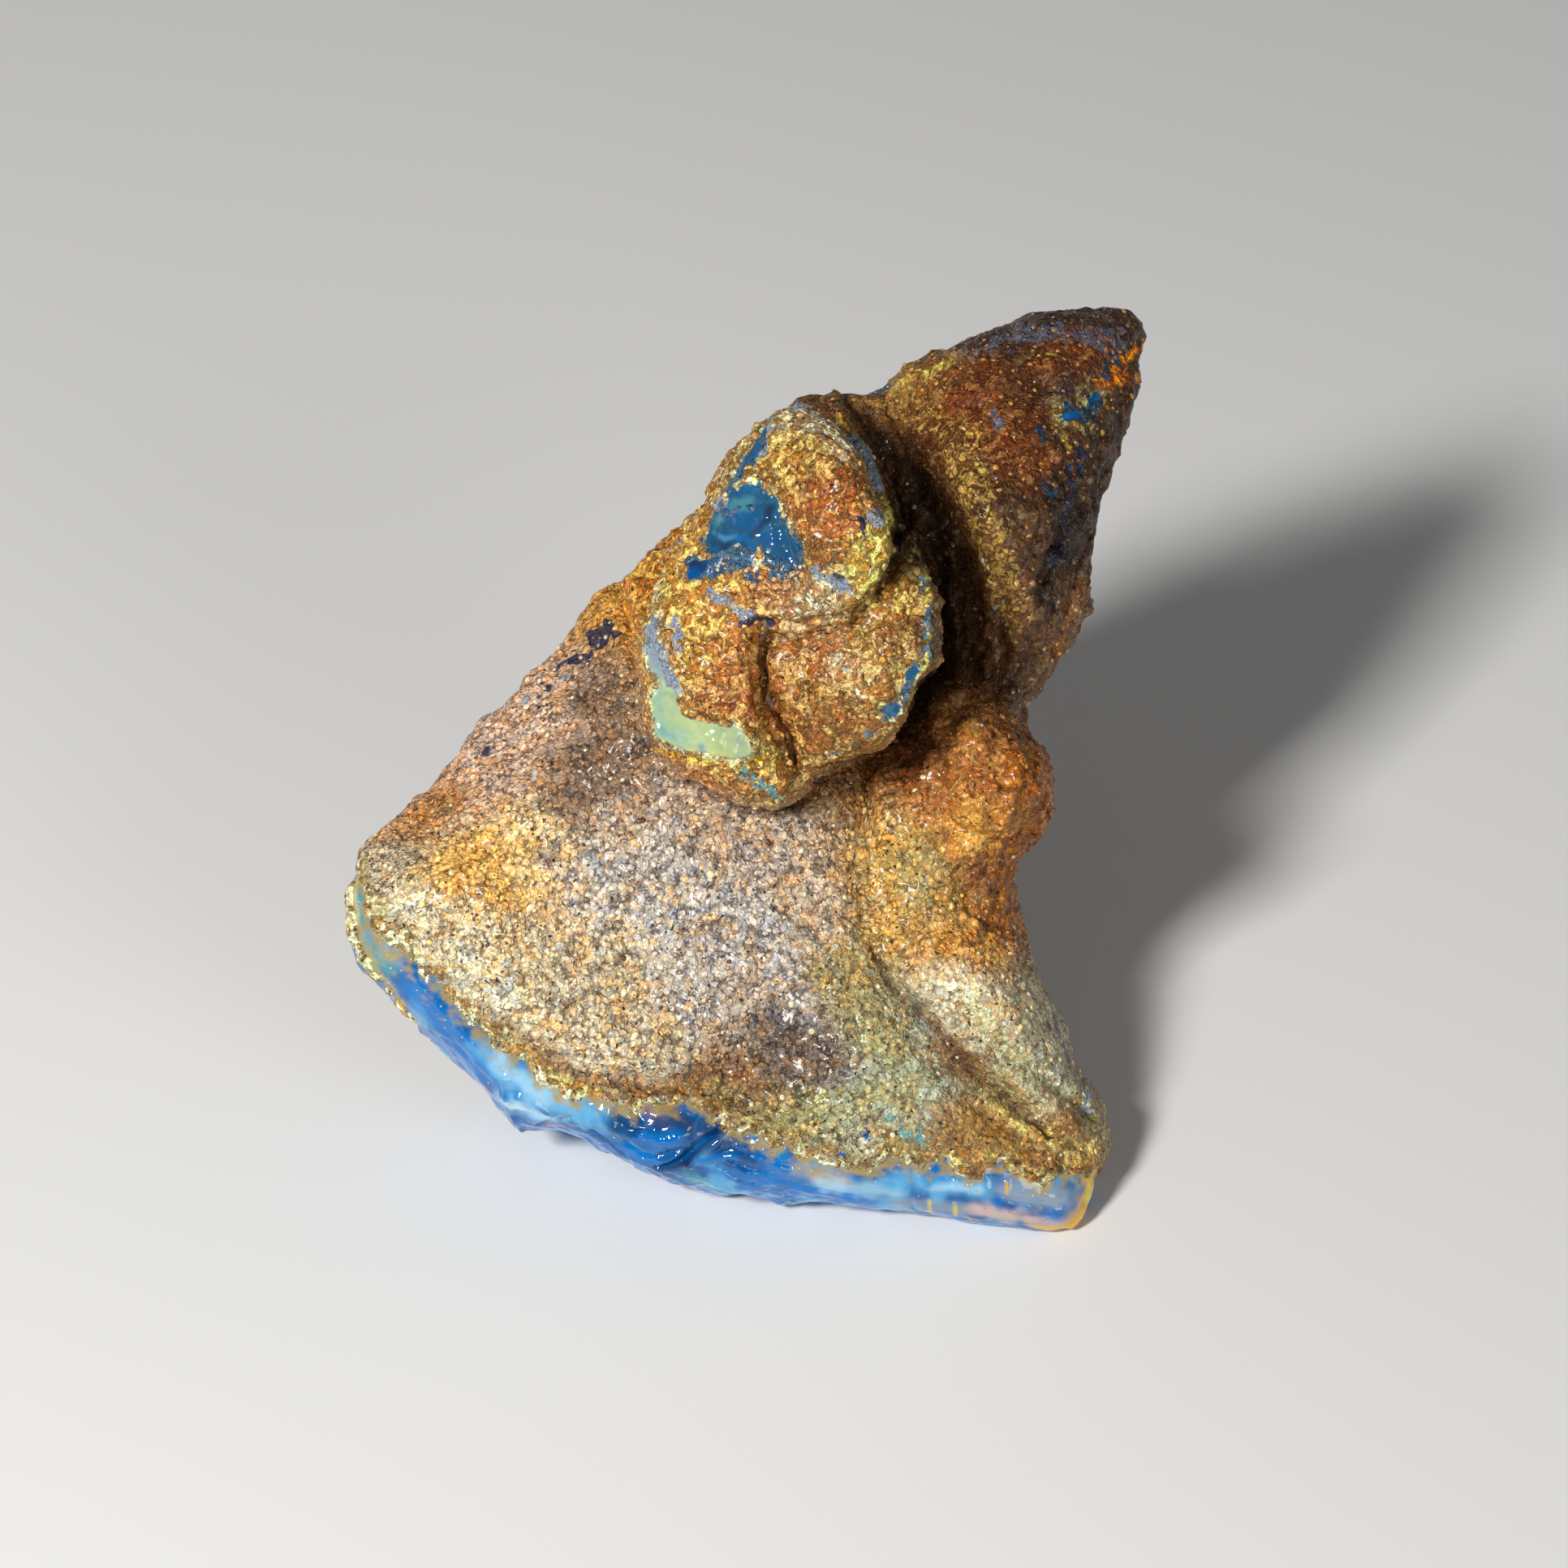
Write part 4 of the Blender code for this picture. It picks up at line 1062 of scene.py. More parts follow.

# %% [markdown]
# The bare resin has its own paint: deep and sky blues where it glows, which it also gives off as a
# painted glow, milky and lilac where it is clouded, peach and honey painted where light comes through
# from behind, and a painted highlight of pale sky and ice on the chipped facet.

# %% Colours of the bare resin
RESIN_PAINT = [
    (TEAL, 1.8, 0.9, [(436, 1090), (446, 1150), (462, 1180)]),
    (STRAW, 0.4, 0.7, [(440, 1078), (434, 1110), (438, 1136)]),
    (CREAM, 0.4, 0.8, [(470, 1142), (478, 1150)]),
    (GREY_BLUE, 0.6, 0.6, [(450, 1150), (470, 1170), (490, 1180)]),
    (DEEP_BLUE, 0.5, 0.8, [(508, 1192), (516, 1204)]),
    (AZURE, 1.4, 0.95, [(510, 1222), (545, 1262), (580, 1305), (612, 1340)]),
    (SKY, 1.2, 0.9, [(600, 1296), (640, 1330), (690, 1356), (720, 1370)]),
    (PALE_SKY, 0.8, 0.8, [(616, 1306), (650, 1340), (690, 1360)]),
    (LILAC, 0.3, 0.5, [(592, 1290), (606, 1304)]),
    # pale sky and ice on the chipped facet: partly milky resin, partly a painted highlight
    (PALE_SKY, 1.1, 0.95, [(622, 1360), (648, 1374), (672, 1380)]),
    (ICE, 0.5, 0.8, [(634, 1368), (652, 1376), (668, 1380)]),
    (SKY, 0.9, 0.8, [(690, 1370), (730, 1384), (760, 1396)]),
    (RUST, 0.3, 0.7, [(666, 1390), (690, 1389)]),
    (RUST, 0.4, 0.6, [(790, 1358), (806, 1374), (822, 1388)]),
    (UMBER, 0.4, 0.7, [(810, 1362), (832, 1376), (850, 1388)]),
    (INDIGO, 1.3, 0.9, [(766, 1390), (800, 1396), (840, 1392), (870, 1384)]),
    (AZURE, 0.6, 0.9, [(794, 1402), (812, 1408), (834, 1404)]),
    (DEEP_BLUE, 0.6, 0.8, [(764, 1424), (800, 1440), (840, 1450)]),
    (NAVY, 0.45, 0.95, [(893, 1385), (874, 1398), (853, 1416), (842, 1430), (834, 1436), (806, 1443)]),
    (INDIGO, 1.1, 0.9, [(880, 1400), (900, 1422), (930, 1432)]),
    (AZURE, 0.8, 0.85, [(940, 1424), (970, 1440)]),
    (AZURE, 0.35, 0.8, [(862, 1432), (884, 1428), (906, 1426)]),
    (NAVY, 0.2, 0.8, [(886, 1442), (904, 1452), (928, 1463)]),
    (NAVY, 0.2, 0.8, [(900, 1436), (920, 1443), (944, 1448)]),
    (TEAL, 0.6, 0.8, [(846, 1450), (866, 1460), (890, 1470)]),
    (AZURE, 0.8, 0.85, [(930, 1452), (960, 1460), (990, 1466)]),
    (LILAC, 0.8, 0.8, [(986, 1444), (1012, 1450), (1034, 1456)]),
    (PEACH, 0.6, 0.6, [(1010, 1452), (1034, 1460)]),
    (PALE_SKY, 0.9, 0.7, [(1020, 1462), (1060, 1468), (1100, 1470)]),
    (SKY, 0.9, 0.8, [(1100, 1456), (1140, 1462), (1176, 1462), (1210, 1466)]),
    (PALE_SKY, 0.4, 0.7, [(1150, 1464), (1176, 1462), (1204, 1466)]),
    (GREY_BLUE, 0.8, 0.75, [(1110, 1486), (1150, 1490), (1190, 1494)]),
    (PEACH, 0.8, 0.9, [(1206, 1494), (1236, 1500), (1262, 1504)]),
    (LILAC, 0.9, 0.85, [(1240, 1468), (1270, 1474), (1300, 1478)]),
    (PEACH, 0.6, 0.7, [(1270, 1506), (1300, 1512)]),
    (GREY_BLUE, 0.8, 0.6, [(1280, 1472), (1320, 1478)]),
    (RUST, 0.12, 0.8, [(1125, 1449), (1125, 1469)]),
    (YELLOW, 0.14, 0.9, [(1145, 1480), (1146, 1498)]),
    (YELLOW, 0.14, 0.9, [(1176, 1482), (1177, 1500)]),
    (HONEY, 0.18, 0.9, [(1241, 1459), (1242, 1488)]),
    # painted light: honey and yellow at the thin corner and along the lower edge, where light comes through the resin
    (HONEY, 1.2, 1.0, [(1366, 1440), (1362, 1476), (1350, 1512), (1322, 1534)]),
    (HONEY, 0.20, 0.9, [(1190, 1502), (1212, 1507), (1263, 1512), (1310, 1515)]),
    (YELLOW, 0.5, 0.9, [(1330, 1430), (1344, 1450), (1346, 1480)]),
    (UMBER, 0.08, 0.9, [(1263, 1501), (1274, 1503), (1286, 1499), (1297, 1502)]),
    # windows in the knob
    (PETROL, 2.6, 1.0, [(884, 650), (904, 630), (926, 630), (944, 652), (956, 668)]),
    (DEEP_BLUE, 0.6, 0.5, [(900, 634), (926, 640), (950, 664)]),
    (NAVY, 0.5, 0.6, [(880, 668), (910, 674)]),
    (TEAL, 0.5, 0.6, [(884, 640), (902, 622), (920, 620)]),
    (NAVY, 0.3, 0.7, [(926, 660), (946, 640), (950, 626)]),
    (SKY, 0.2, 0.5, [(878, 655), (892, 664), (906, 660)]),
    (NAVY, 0.6, 0.8, [(864, 698), (852, 692)]),
    (PETROL, 1.2, 1.0, [(944, 526), (926, 550), (908, 578)]),
    (GREY_BLUE, 1.8, 1.0, [(800, 780), (806, 810), (812, 838)]),
    (MINT, 2.6, 1.0, [(816, 866), (822, 892), (838, 904), (866, 914), (900, 922)]),
    (SEA_GREEN, 0.8, 0.7, [(810, 852), (812, 880), (820, 900), (836, 912)]),
    (LILAC, 0.7, 0.7, [(806, 800), (814, 826)]),
    (TEAL, 0.35, 0.5, [(812, 900), (828, 912)]),
    (YELLOW, 0.4, 0.4, [(858, 926), (890, 934)]),
    (PETROL, 1.4, 1.0, [(1122, 830), (1112, 856), (1100, 876)]),
    (TEAL, 1.2, 1.0, [(962, 984), (944, 972)]),
]


def resin_colour(points, facing):
    """The colour of the resin's glow at each point, deeper and browner on the hidden side."""
    swirl = ramp(-0.6, 0.6, variation(points, 4.0, seed=61, octaves=2))[:, None]
    ground = np.array(AZURE) * (1.0 - swirl) + np.array(DEEP_BLUE) * swirl
    clouds = ramp(0.1, 0.9, variation(points, 4.0, seed=62, octaves=3))[:, None]
    ground = ground + (np.array(SKY) - ground) * clouds * 0.8
    colours = paint(ground, points, RESIN_PAINT, 0.7 * variation(points, 1.6, seed=63, octaves=2), soft=0.65)
    hidden = (1.0 - ramp(-0.6, 0.0, facing))[:, None]
    colours += (np.array(DEEP_BLUE) * 0.8 - colours) * hidden * 0.5
    depth = crust_depth(points)
    on_rim = ramp(1000, 1100, picture_places(points)[:, 1])
    haze = ramp(-0.9, 0.0, depth + 0.55 * variation(points, 0.9, seed=64, octaves=3)) * on_rim
    colours += (np.array(TAWNY) - colours) * (0.8 * haze)[:, None]
    return colours + (np.array(UMBER) * 0.5 - colours) * ramp(0.35, 0.7, depth)[:, None]


resin_points = points_of(resin)
keep_colour(resin, "glow", resin_colour(resin_points, normals_of(resin) @ OUT_OF_FACE))
print(len(STAINS_AND_PAINTED_LIGHT) + len(FILMS) + len(RESIN_PAINT), "strokes of colour")

# %% [markdown]
# ## Writing shader maths as sums
# Shader nodes are easier to read as expressions. This small class wraps a socket, so that a sum,
# a difference or a product of values adds the Math node that does it.

# %% A socket with arithmetic
class Value:
    """A number or a colour that flows through a material."""

    def __init__(self, material, socket):
        self.material = material
        self.socket = socket

    def _join(self, operation, first, second):
        return self.material.node("ShaderNodeMath", {"operation": operation}, {0: first, 1: second})

    def __add__(self, other):
        return self._join("ADD", self, other)

    def __radd__(self, other):
        return self._join("ADD", other, self)

    def __sub__(self, other):
        return self._join("SUBTRACT", self, other)

    def __rsub__(self, other):
        return self._join("SUBTRACT", other, self)

    def __mul__(self, other):
        return self._join("MULTIPLY", self, other)

    def __rmul__(self, other):
        return self._join("MULTIPLY", other, self)

    def ramp(self, low, high):
        """Rises smoothly from 0 at low to 1 at high."""
        settings = {"interpolation_type": "SMOOTHSTEP"}
        return self.material.node("ShaderNodeMapRange", settings, {0: self, 1: low, 2: high})


class Material:
    """A material under construction."""

    def __init__(self, name):
        self.made = bpy.data.materials.new(name)
        self.made.use_nodes = True
        self.tree = self.made.node_tree
        self.shader = self.tree.nodes["Principled BSDF"]
        self.output = self.tree.nodes["Material Output"]
        place = self.node("ShaderNodeTexCoord", {}, {}, "Object")
        self.place = self.node("ShaderNodeVectorMath", {"operation": "SCALE"}, {0: place, "Scale": 1 / MM})

    def set(self, socket, value):
        """Links a value to a socket, or sets the socket to a number or a colour."""
        if isinstance(value, Value):
            self.tree.links.new(value.socket, socket)
        elif isinstance(value, tuple) and len(value) == 3 and socket.type == "RGBA":
            socket.default_value = (*value, 1.0)
        else:
            socket.default_value = value

    def node(self, kind, settings, inputs, result=0):
        """Adds a node with these settings and inputs and returns one of its results."""
        made = self.tree.nodes.new(kind)
        for name, value in settings.items():
            setattr(made, name, value)
        for name, value in inputs.items():
            self.set(made.inputs[name], value)
        return Value(self, made.outputs[result])

    def mix(self, share, first, second):
        """One colour at share 0 and the other at share 1."""
        settings = {"data_type": "RGBA"}
        return self.node("ShaderNodeMix", settings, {0: share, 6: first, 7: second}, 2)

    def tinted(self, colour, amount):
        """The colour times a number or another colour."""
        settings = {"data_type": "RGBA", "blend_type": "MULTIPLY"}
        return self.node("ShaderNodeMix", settings, {0: 1.0, 6: colour, 7: amount}, 2)

    def clouds(self, size, detail=2.0, roughness=0.5, bend=0.0):
        """A soft random pattern whose swells are this many millimetres wide."""
        inputs = {"Vector": self.place, "Scale": 1 / size, "Detail": detail, "Roughness": roughness}
        inputs["Distortion"] = bend
        return self.node("ShaderNodeTexNoise", {}, inputs, "Fac")

    def moved(self, far, size, offset=0.0):
        """The place, pushed about softly by noise of this size, so that patterns on it look grown."""
        inputs = {"Vector": self.place, "Scale": 1 / size, "Detail": 2.0}
        push = self.node("ShaderNodeTexNoise", {}, inputs, "Color")
        push = self.node("ShaderNodeVectorMath", {"operation": "SUBTRACT"}, {0: push, 1: (0.5, 0.5, 0.5)})
        place = self.place
        if offset:
            place = self.node("ShaderNodeVectorMath", {"operation": "ADD"}, {0: place, 1: (offset,) * 3})
        reach = {0: push, 1: (far, far, far), 2: place}
        return self.node("ShaderNodeVectorMath", {"operation": "MULTIPLY_ADD"}, reach)

    def lumps(self, size, width, bend):
        """1 on rounded lumps this many millimetres wide, 0 in the thin, winding creases between them."""
        away = self.clouds(2.0 * size, 2.0, 0.5, bend) - 0.5
        return (away * away).ramp(0.0, width * width)

    def part(self, colour, channel):
        """The Red, Green or Blue of a colour."""
        return self.node("ShaderNodeSeparateColor", {}, {0: colour}, channel)

    def cells(self, size, result, feature="F1", place=None):
        """A pattern of cells this many millimetres wide: their Distance or their Color."""
        inputs = {"Vector": place or self.place, "Scale": 1 / size}
        return self.node("ShaderNodeTexVoronoi", {"feature": feature}, inputs, result)

    def attribute(self, name, result="Color"):
        """What each point of the piece stores under this name."""
        return self.node("ShaderNodeAttribute", {"attribute_name": name}, {}, result)

    def finish(self, **inputs):
        """Sets the shader's sockets, whose names are written with underscores."""
        for name, value in inputs.items():
            self.set(self.shader.inputs[name.replace("_", " ")], value)

    def bump(self, height, depth):
        """The normal of a surface that rises by depth millimetres as height goes from 0 to 1."""
        inputs = {"Height": height, "Distance": depth * MM, "Strength": 1.0}
        return self.node("ShaderNodeBump", {}, inputs, "Normal")


def wear(piece, material):
    """Gives the piece its material."""
    piece.data.materials.clear()
    piece.data.materials.append(material.made)


# %% [markdown]
# ## The crust's finish
# Two finishes share the crust. Where it is sand, it is a jumble of pale, honey and blue grey grains with
# dark, broken cracks between them and small dark pits; the cracks are dark cement, darkened further
# as painted shade where the relief is low. Where it is weathered resin, on the knob and the fin, yellow
# flakes lie over a rusty ground, with the same pits, its creases darkened as painted shade and its
# lumps' tops flecked with gold, partly flakes and partly painted glints. Blue films lie over both, with
# edges that are frayed by noise, and all of it is a little wet. The places that the patterns read are
# pushed about by noise first, because cells that are left alone look like a tiled floor.

# %% Crust material
sandy = Material("crusted_amber")
ground = sandy.attribute("ground")
film = sandy.attribute("film")
film_strength = sandy.attribute("film", "Alpha")
sand = sandy.attribute("sand", "Fac")
gold = sandy.attribute("gold", "Fac")
wrinkled = sandy.moved(0.7, 0.5)
nudged = sandy.moved(0.32, 0.42)

# sand: cobbles of many tones and two sizes, honey and blue grey patches, and dark gaps and broken creases, partly dark
# cement and partly painted shade
kinds = sandy.cells(0.44, "Color", place=nudged)
coarse = 1.0 - sandy.cells(0.44, "Distance", place=nudged).ramp(0.42, 0.68)
small = 1.0 - sandy.cells(0.25, "Distance", place=nudged).ramp(0.40, 0.70)
winding = sandy.lumps(0.36, 0.055, 1.0)
broken = sandy.clouds(0.8, 3.0, 0.6).ramp(0.45, 0.57)
grit = sandy.clouds(0.13, 2.0, 0.6)
patches = sandy.clouds(1.5, 5.0, 0.62, 0.4)
chill = sandy.clouds(1.15, 5.0, 0.62, 0.8)
grainy = sandy.tinted(ground, 0.74 + 0.66 * sandy.part(kinds, "Red").ramp(0.05, 0.95) + 0.34 * grit.ramp(0.3, 0.7))
honeyed = (patches + 0.2 * sandy.part(kinds, "Green")).ramp(0.58, 0.72)
grainy = sandy.mix(honeyed * 0.75, grainy, sandy.tinted(grainy, (1.25, 0.86, 0.44)))
chilled = (chill + 0.2 * sandy.part(kinds, "Blue")).ramp(0.60, 0.74)
grainy = sandy.mix(chilled * 0.75, grainy, sandy.tinted(grainy, (0.62, 0.80, 1.16)))
# painted shade over dark cement: the low gaps and creases of the relief are darkened
grainy = sandy.mix((1.0 - coarse) * (0.35 + 0.65 * broken) * 0.72, grainy, sandy.tinted(ground, (0.20, 0.16, 0.16)))
grainy = sandy.mix((1.0 - small) * 0.35, grainy, sandy.tinted(ground, (0.36, 0.32, 0.31)))
grainy = sandy.mix((1.0 - winding) * broken * 0.8, grainy, sandy.tinted(ground, (0.16, 0.13, 0.14)))
sand_relief = 0.7 * coarse + 0.3 * small + 0.4 * sandy.part(kinds, "Red") + 0.3 * grit + 0.3 * winding

# weathered resin: yellow flakes over rust, in lumps whose creases are darkened as painted shade, with gold flecks on
# their tops that are partly painted glints
flakes = sandy.clouds(1.1, 9.0, 0.74, 0.8).ramp(0.45, 0.55)
mottle = sandy.clouds(0.30, 4.0, 0.65, 0.5)
nodules = sandy.lumps(0.55, 0.07, 0.8)
wrinkles = sandy.lumps(0.28, 0.06, 1.2)
thinned = sandy.clouds(1.0, 3.0, 0.6).ramp(0.40, 0.56)
resinous = sandy.mix(flakes, sandy.tinted(ground, (0.74, 0.47, 0.24)), sandy.tinted(ground, (1.24, 1.46, 1.60)))
resinous = sandy.tinted(resinous, 0.45 + 1.3 * mottle.ramp(0.36, 0.68))
# painted shade: the creases between the lumps are darkened
resinous = sandy.mix((1.0 - nodules) * (0.2 + 0.8 * thinned) * 0.7, resinous, sandy.tinted(ground, (0.16, 0.09, 0.05)))
resinous = sandy.mix((1.0 - wrinkles) * thinned * 0.6, resinous, sandy.tinted(ground, (0.30, 0.18, 0.10)))
# gold flecks on the lumps' tops: partly yellow flakes, partly painted glints
glint_flakes = (gold + (sandy.clouds(0.6, 9.0, 0.74, 0.6) - 0.5) * 1.5).ramp(0.54, 0.68)
glint_flake_colour = sandy.mix(mottle.ramp(0.35, 0.65), (0.30, 0.17, 0.02), (0.80, 0.53, 0.11))
resinous = sandy.mix(glint_flakes * nodules * 0.85, resinous, glint_flake_colour)
resin_relief = 0.8 * nodules + 0.35 * wrinkles + 0.5 * mottle + 0.2 * glint_flakes

colour = sandy.mix(sand, resinous, grainy)
pit = sandy.cells(0.6, "Distance", place=wrinkled)
pits = (1.0 - pit.ramp(0.12, 0.20)) * sandy.clouds(1.2, 2.0).ramp(0.40, 0.50)
colour = sandy.mix(pits * 0.92, colour, (0.020, 0.016, 0.018))
frayed = (film_strength + (sandy.clouds(0.9, 8.0, 0.7, 0.8) - 0.5) * 1.3).ramp(0.46, 0.54)
wet_film = sandy.mix(mottle.ramp(0.3, 0.75), sandy.tinted(film, (0.6, 0.6, 0.7)), sandy.tinted(film, (1.5, 1.5, 1.4)))
colour = sandy.mix(frayed * 0.92, colour, wet_film)
relief = sand * sand_relief + (1.0 - sand) * resin_relief - 0.8 * pits
sandy.finish(
    Base_Color=colour,
    Roughness=0.46 - 0.26 * frayed - 0.14 * mottle,
    Specular_IOR_Level=0.3,
    Coat_Weight=0.2,
    Coat_Roughness=0.13,
    Normal=sandy.bump(relief, 0.15),
)
wear(crust, sandy)

# %% [markdown]
# ## The resin's finish
# Amber lets light through and bends it a little more than glass does, by 1.54, and on its way through,
# the blue and the green are taken out of the light, which leaves honey brown. Its surface glows blue
# under daylight, from a milky layer just under the polish; here that glow is painted light, an emission
# of the milky colour, so the resin shines blue whatever the lamps do. The glow's colour is painted, the
# clearness, the bend and the honey are plain numbers.

# %% Resin material
amber = Material("bare_amber")
glow = amber.attribute("glow")
veil = amber.clouds(2.2, 3.0, 0.5, 1.2)
milk = amber.mix(veil.ramp(0.48, 0.85) * 0.2, glow, amber.mix(0.5, glow, PALE_SKY))
milk = amber.mix((1.0 - veil.ramp(0.2, 0.5)) * 0.25, milk, amber.tinted(glow, (0.45, 0.6, 0.8)))
polish = amber.clouds(0.5, 3.0, 0.6)
amber.finish(
    Base_Color=milk,
    Roughness=0.06 + polish.ramp(0.4, 0.8) * 0.12,
    IOR=1.54,
    Transmission_Weight=0.45,
    # painted glow: the milky colour is also emitted, so the resin shines blue whatever the lamps do
    Emission_Color=milk,
    Emission_Strength=0.35,
    Normal=amber.bump(polish, 0.02),
)
honey = amber.tree.nodes.new("ShaderNodeVolumeAbsorption")
honey.inputs["Color"].default_value = (0.90, 0.50, 0.08, 1.0)
honey.inputs["Density"].default_value = 220.0
amber.tree.links.new(honey.outputs[0], amber.output.inputs["Volume"])
wear(resin, amber)

# %% [markdown]
# ## The grains of sand
# Real grains stand a little proud of the crust, and each catches the light. Four small pebbles are
# shaped from a coarse ball, then strewn over the crust by throwing darts: a dart that
# lands too near another is dropped, so the grains pack without overlapping much. Each is half sunk and
# takes the crust's colour, some lighter, some darker, some grey or rusty.

# %% Shape four pebbles
def pebble(name, stretch, seed):
    """The points and faces of a small rounded pebble, about one unit in radius."""
    bpy.ops.object.select_all(action="DESELECT")
    bpy.ops.mesh.primitive_uv_sphere_add(segments=7, ring_count=4, radius=1.0)
    made = bpy.context.object
    made.name = name
    bpy.ops.object.mode_set(mode="EDIT")
    bpy.ops.transform.resize(value=stretch)
    bpy.ops.transform.vertex_random(offset=0.14, seed=seed)
    bpy.ops.mesh.quads_convert_to_tris()
    bpy.ops.object.mode_set(mode="OBJECT")
    corners = points_of(made).copy()
    faces = np.array([tuple(face.vertices) for face in made.data.polygons])
    bpy.data.objects.remove(made)
    return corners, faces


PEBBLES = [
    pebble("round", (1.0, 0.95, 0.85), 1),
    pebble("long", (1.3, 0.85, 0.75), 2),
    pebble("flat", (1.1, 1.05, 0.6), 3),
    pebble("chip", (1.0, 0.8, 0.9), 4),
]


def throw_darts(piece, allowed, gaps, count, seed):
    """Random places on the piece's faces where allowed, each at least its gap from the others."""
    draw = np.random.default_rng(seed)
    mesh = piece.data
    areas = np.empty(len(mesh.polygons))
    mesh.polygons.foreach_get("area", areas)
    corners = np.array([tuple(face.vertices)[:3] for face in mesh.polygons])
    chance = areas * allowed[corners].mean(axis=1)
    chosen = draw.choice(len(corners), count, p=chance / chance.sum())
    shares = draw.dirichlet((1.0, 1.0, 1.0), count)
    spots = (points_of(piece)[corners[chosen]] * shares[:, :, None]).sum(axis=1)
    facing = (normals_of(piece)[corners[chosen]] * shares[:, :, None]).sum(axis=1)
    facing /= np.linalg.norm(facing, axis=1)[:, None]
    gap = (gaps[corners[chosen]] * shares).sum(axis=1)
    taken = {}
    kept = []
    box = np.floor(spots / (0.7 * MM)).astype(int)
    for number in range(count):
        x, y, z = box[number]
        near = [
            other
            for i in (x - 1, x, x + 1)
            for j in (y - 1, y, y + 1)
            for k in (z - 1, z, z + 1)
            for other in taken.get((i, j, k), ())
        ]
        if near:
            apart = np.linalg.norm(spots[near] - spots[number], axis=1)
            if (apart < gap[number] * MM).any():
                continue
        taken.setdefault((x, y, z), []).append(number)
        kept.append(number)
    return spots[kept], facing[kept], gap[kept]


def strew(name, spots, facing, radii, colours, sink, seed):
    """One mesh of pebbles at these spots, each turned at random and sunk by a share of its radius."""
    draw = np.random.default_rng(seed)
    kinds = draw.integers(0, len(PEBBLES), len(spots))
    all_points, all_faces, all_colours = [], [], []
    start = 0
    for kind, (corners, faces) in enumerate(PEBBLES):
        mine = np.flatnonzero(kinds == kind)
        if not len(mine):
            continue
        side = np.cross(facing[mine], draw.normal(size=(len(mine), 3)))
        side /= np.linalg.norm(side, axis=1)[:, None]
        across = np.cross(facing[mine], side)
        turn = np.stack([side, across, facing[mine]], axis=2)
        size = radii[mine][:, None, None] * draw.uniform(0.85, 1.15, (len(mine), 1, 3))
        placed = np.einsum("nij,nkj->nki", turn, corners[None] * size)
        centre = spots[mine] - facing[mine] * (radii[mine] * sink)[:, None]
        all_points.append((placed + centre[:, None]).reshape(-1, 3))
        offsets = start + np.arange(len(mine))[:, None, None] * len(corners)
        all_faces.append((faces[None] + offsets).reshape(-1, 3))
        all_colours.append(np.repeat(colours[mine], len(corners), axis=0))
        start += len(mine) * len(corners)
    mesh = bpy.data.meshes.new(name)
    mesh.from_pydata(np.vstack(all_points), [], np.vstack(all_faces))
    made = bpy.data.objects.new(name, mesh)
    scene.collection.objects.link(made)
    move_points(made, points_of(made))
    make_active(made)
    bpy.ops.object.shade_smooth()
    keep_colour(made, "ground", np.vstack(all_colours))
    return made


# %% Strew the sand
depth = crust_depth(crust_points)
loose = ramp(0.35, 0.8, sandiness(crust_points, crust_facing)) * ramp(0.5, 1.0, depth)
loose *= ramp(0.2, 0.5, crust_points[:, 2] / MM)
crowd = ramp(-0.5, 0.6, variation(crust_points, 2.4, seed=70, octaves=2))
shown = ramp(-0.2, 0.1, crust_facing)
GAP_IN_CROWD = 0.36
GAP_OUTSIDE = 0.85
gaps = GAP_OUTSIDE + (GAP_IN_CROWD - GAP_OUTSIDE) * crowd * (0.3 + 0.7 * shown)
spots, ways, gap = throw_darts(crust, loose * (0.25 + 0.75 * shown), gaps, 42000, seed=71)
print(len(spots), "grains")


def grain_colours(spots, facing, seed):
    """Each grain's own colour: the crust's, lighter or darker, and now and then another kind of sand."""
    draw = np.random.default_rng(seed)
    colours = crust_colour(spots, facing @ OUT_OF_FACE)
    colours *= draw.uniform(0.75, 1.6, len(spots))[:, None]
    kind = draw.random(len(spots))
    tint = variation(spots, 1.4, seed=seed)
    pale = (kind < 0.10)[:, None]
    colours = np.where(pale, np.array(PALE_CREAM) * draw.uniform(0.7, 1.1, (len(spots), 1)), colours)
    greyish = ((kind > 0.10) & (kind < 0.30) & (tint > 0.1))[:, None]
    colours = np.where(greyish, colours * (0.6, 0.78, 1.2), colours)
    warm = ((kind > 0.30) & (kind < 0.55) & (tint < 0.0))[:, None]
    colours = np.where(warm, colours * (1.2, 0.85, 0.45), colours)
    dark = ((kind > 0.55) & (kind < 0.6))[:, None]
    return np.where(dark, np.array(DARK_UMBER), colours)


draw = np.random.default_rng(72)
radii = 0.17 * np.exp(draw.normal(0.0, 0.28, len(spots))) * MM
radii = np.minimum(radii, 0.34 * MM)
colours = grain_colours(spots, ways, 73)
MOST_GRAINS = 4600
sands = []
order = draw.permutation(len(spots))
for number in range(0, len(spots), MOST_GRAINS):
    part = order[number:number + MOST_GRAINS]
    name = f"sand_grains_{len(sands) + 1}"
    sands.append(strew(name, spots[part], ways[part], radii[part], colours[part], 0.45, 74 + number))

# %% [markdown]
# On the knob, the hollow and the fin, the weathered resin itself stands up in small, glossy beads of
# honey and gold, which catch the lamp. They are strewn in the same way, further apart, and sunk deeper.
# The bare rim has some specks of sand stuck to it near the crust. And like all amber it has things
# sealed in: dark crumbs and pale bubbles, a millimetre or less below the polish.

# %% Beads, specks and what is sealed in
GOLDEN = [GOLD, HONEY, OCHRE, STRAW, ORANGE]
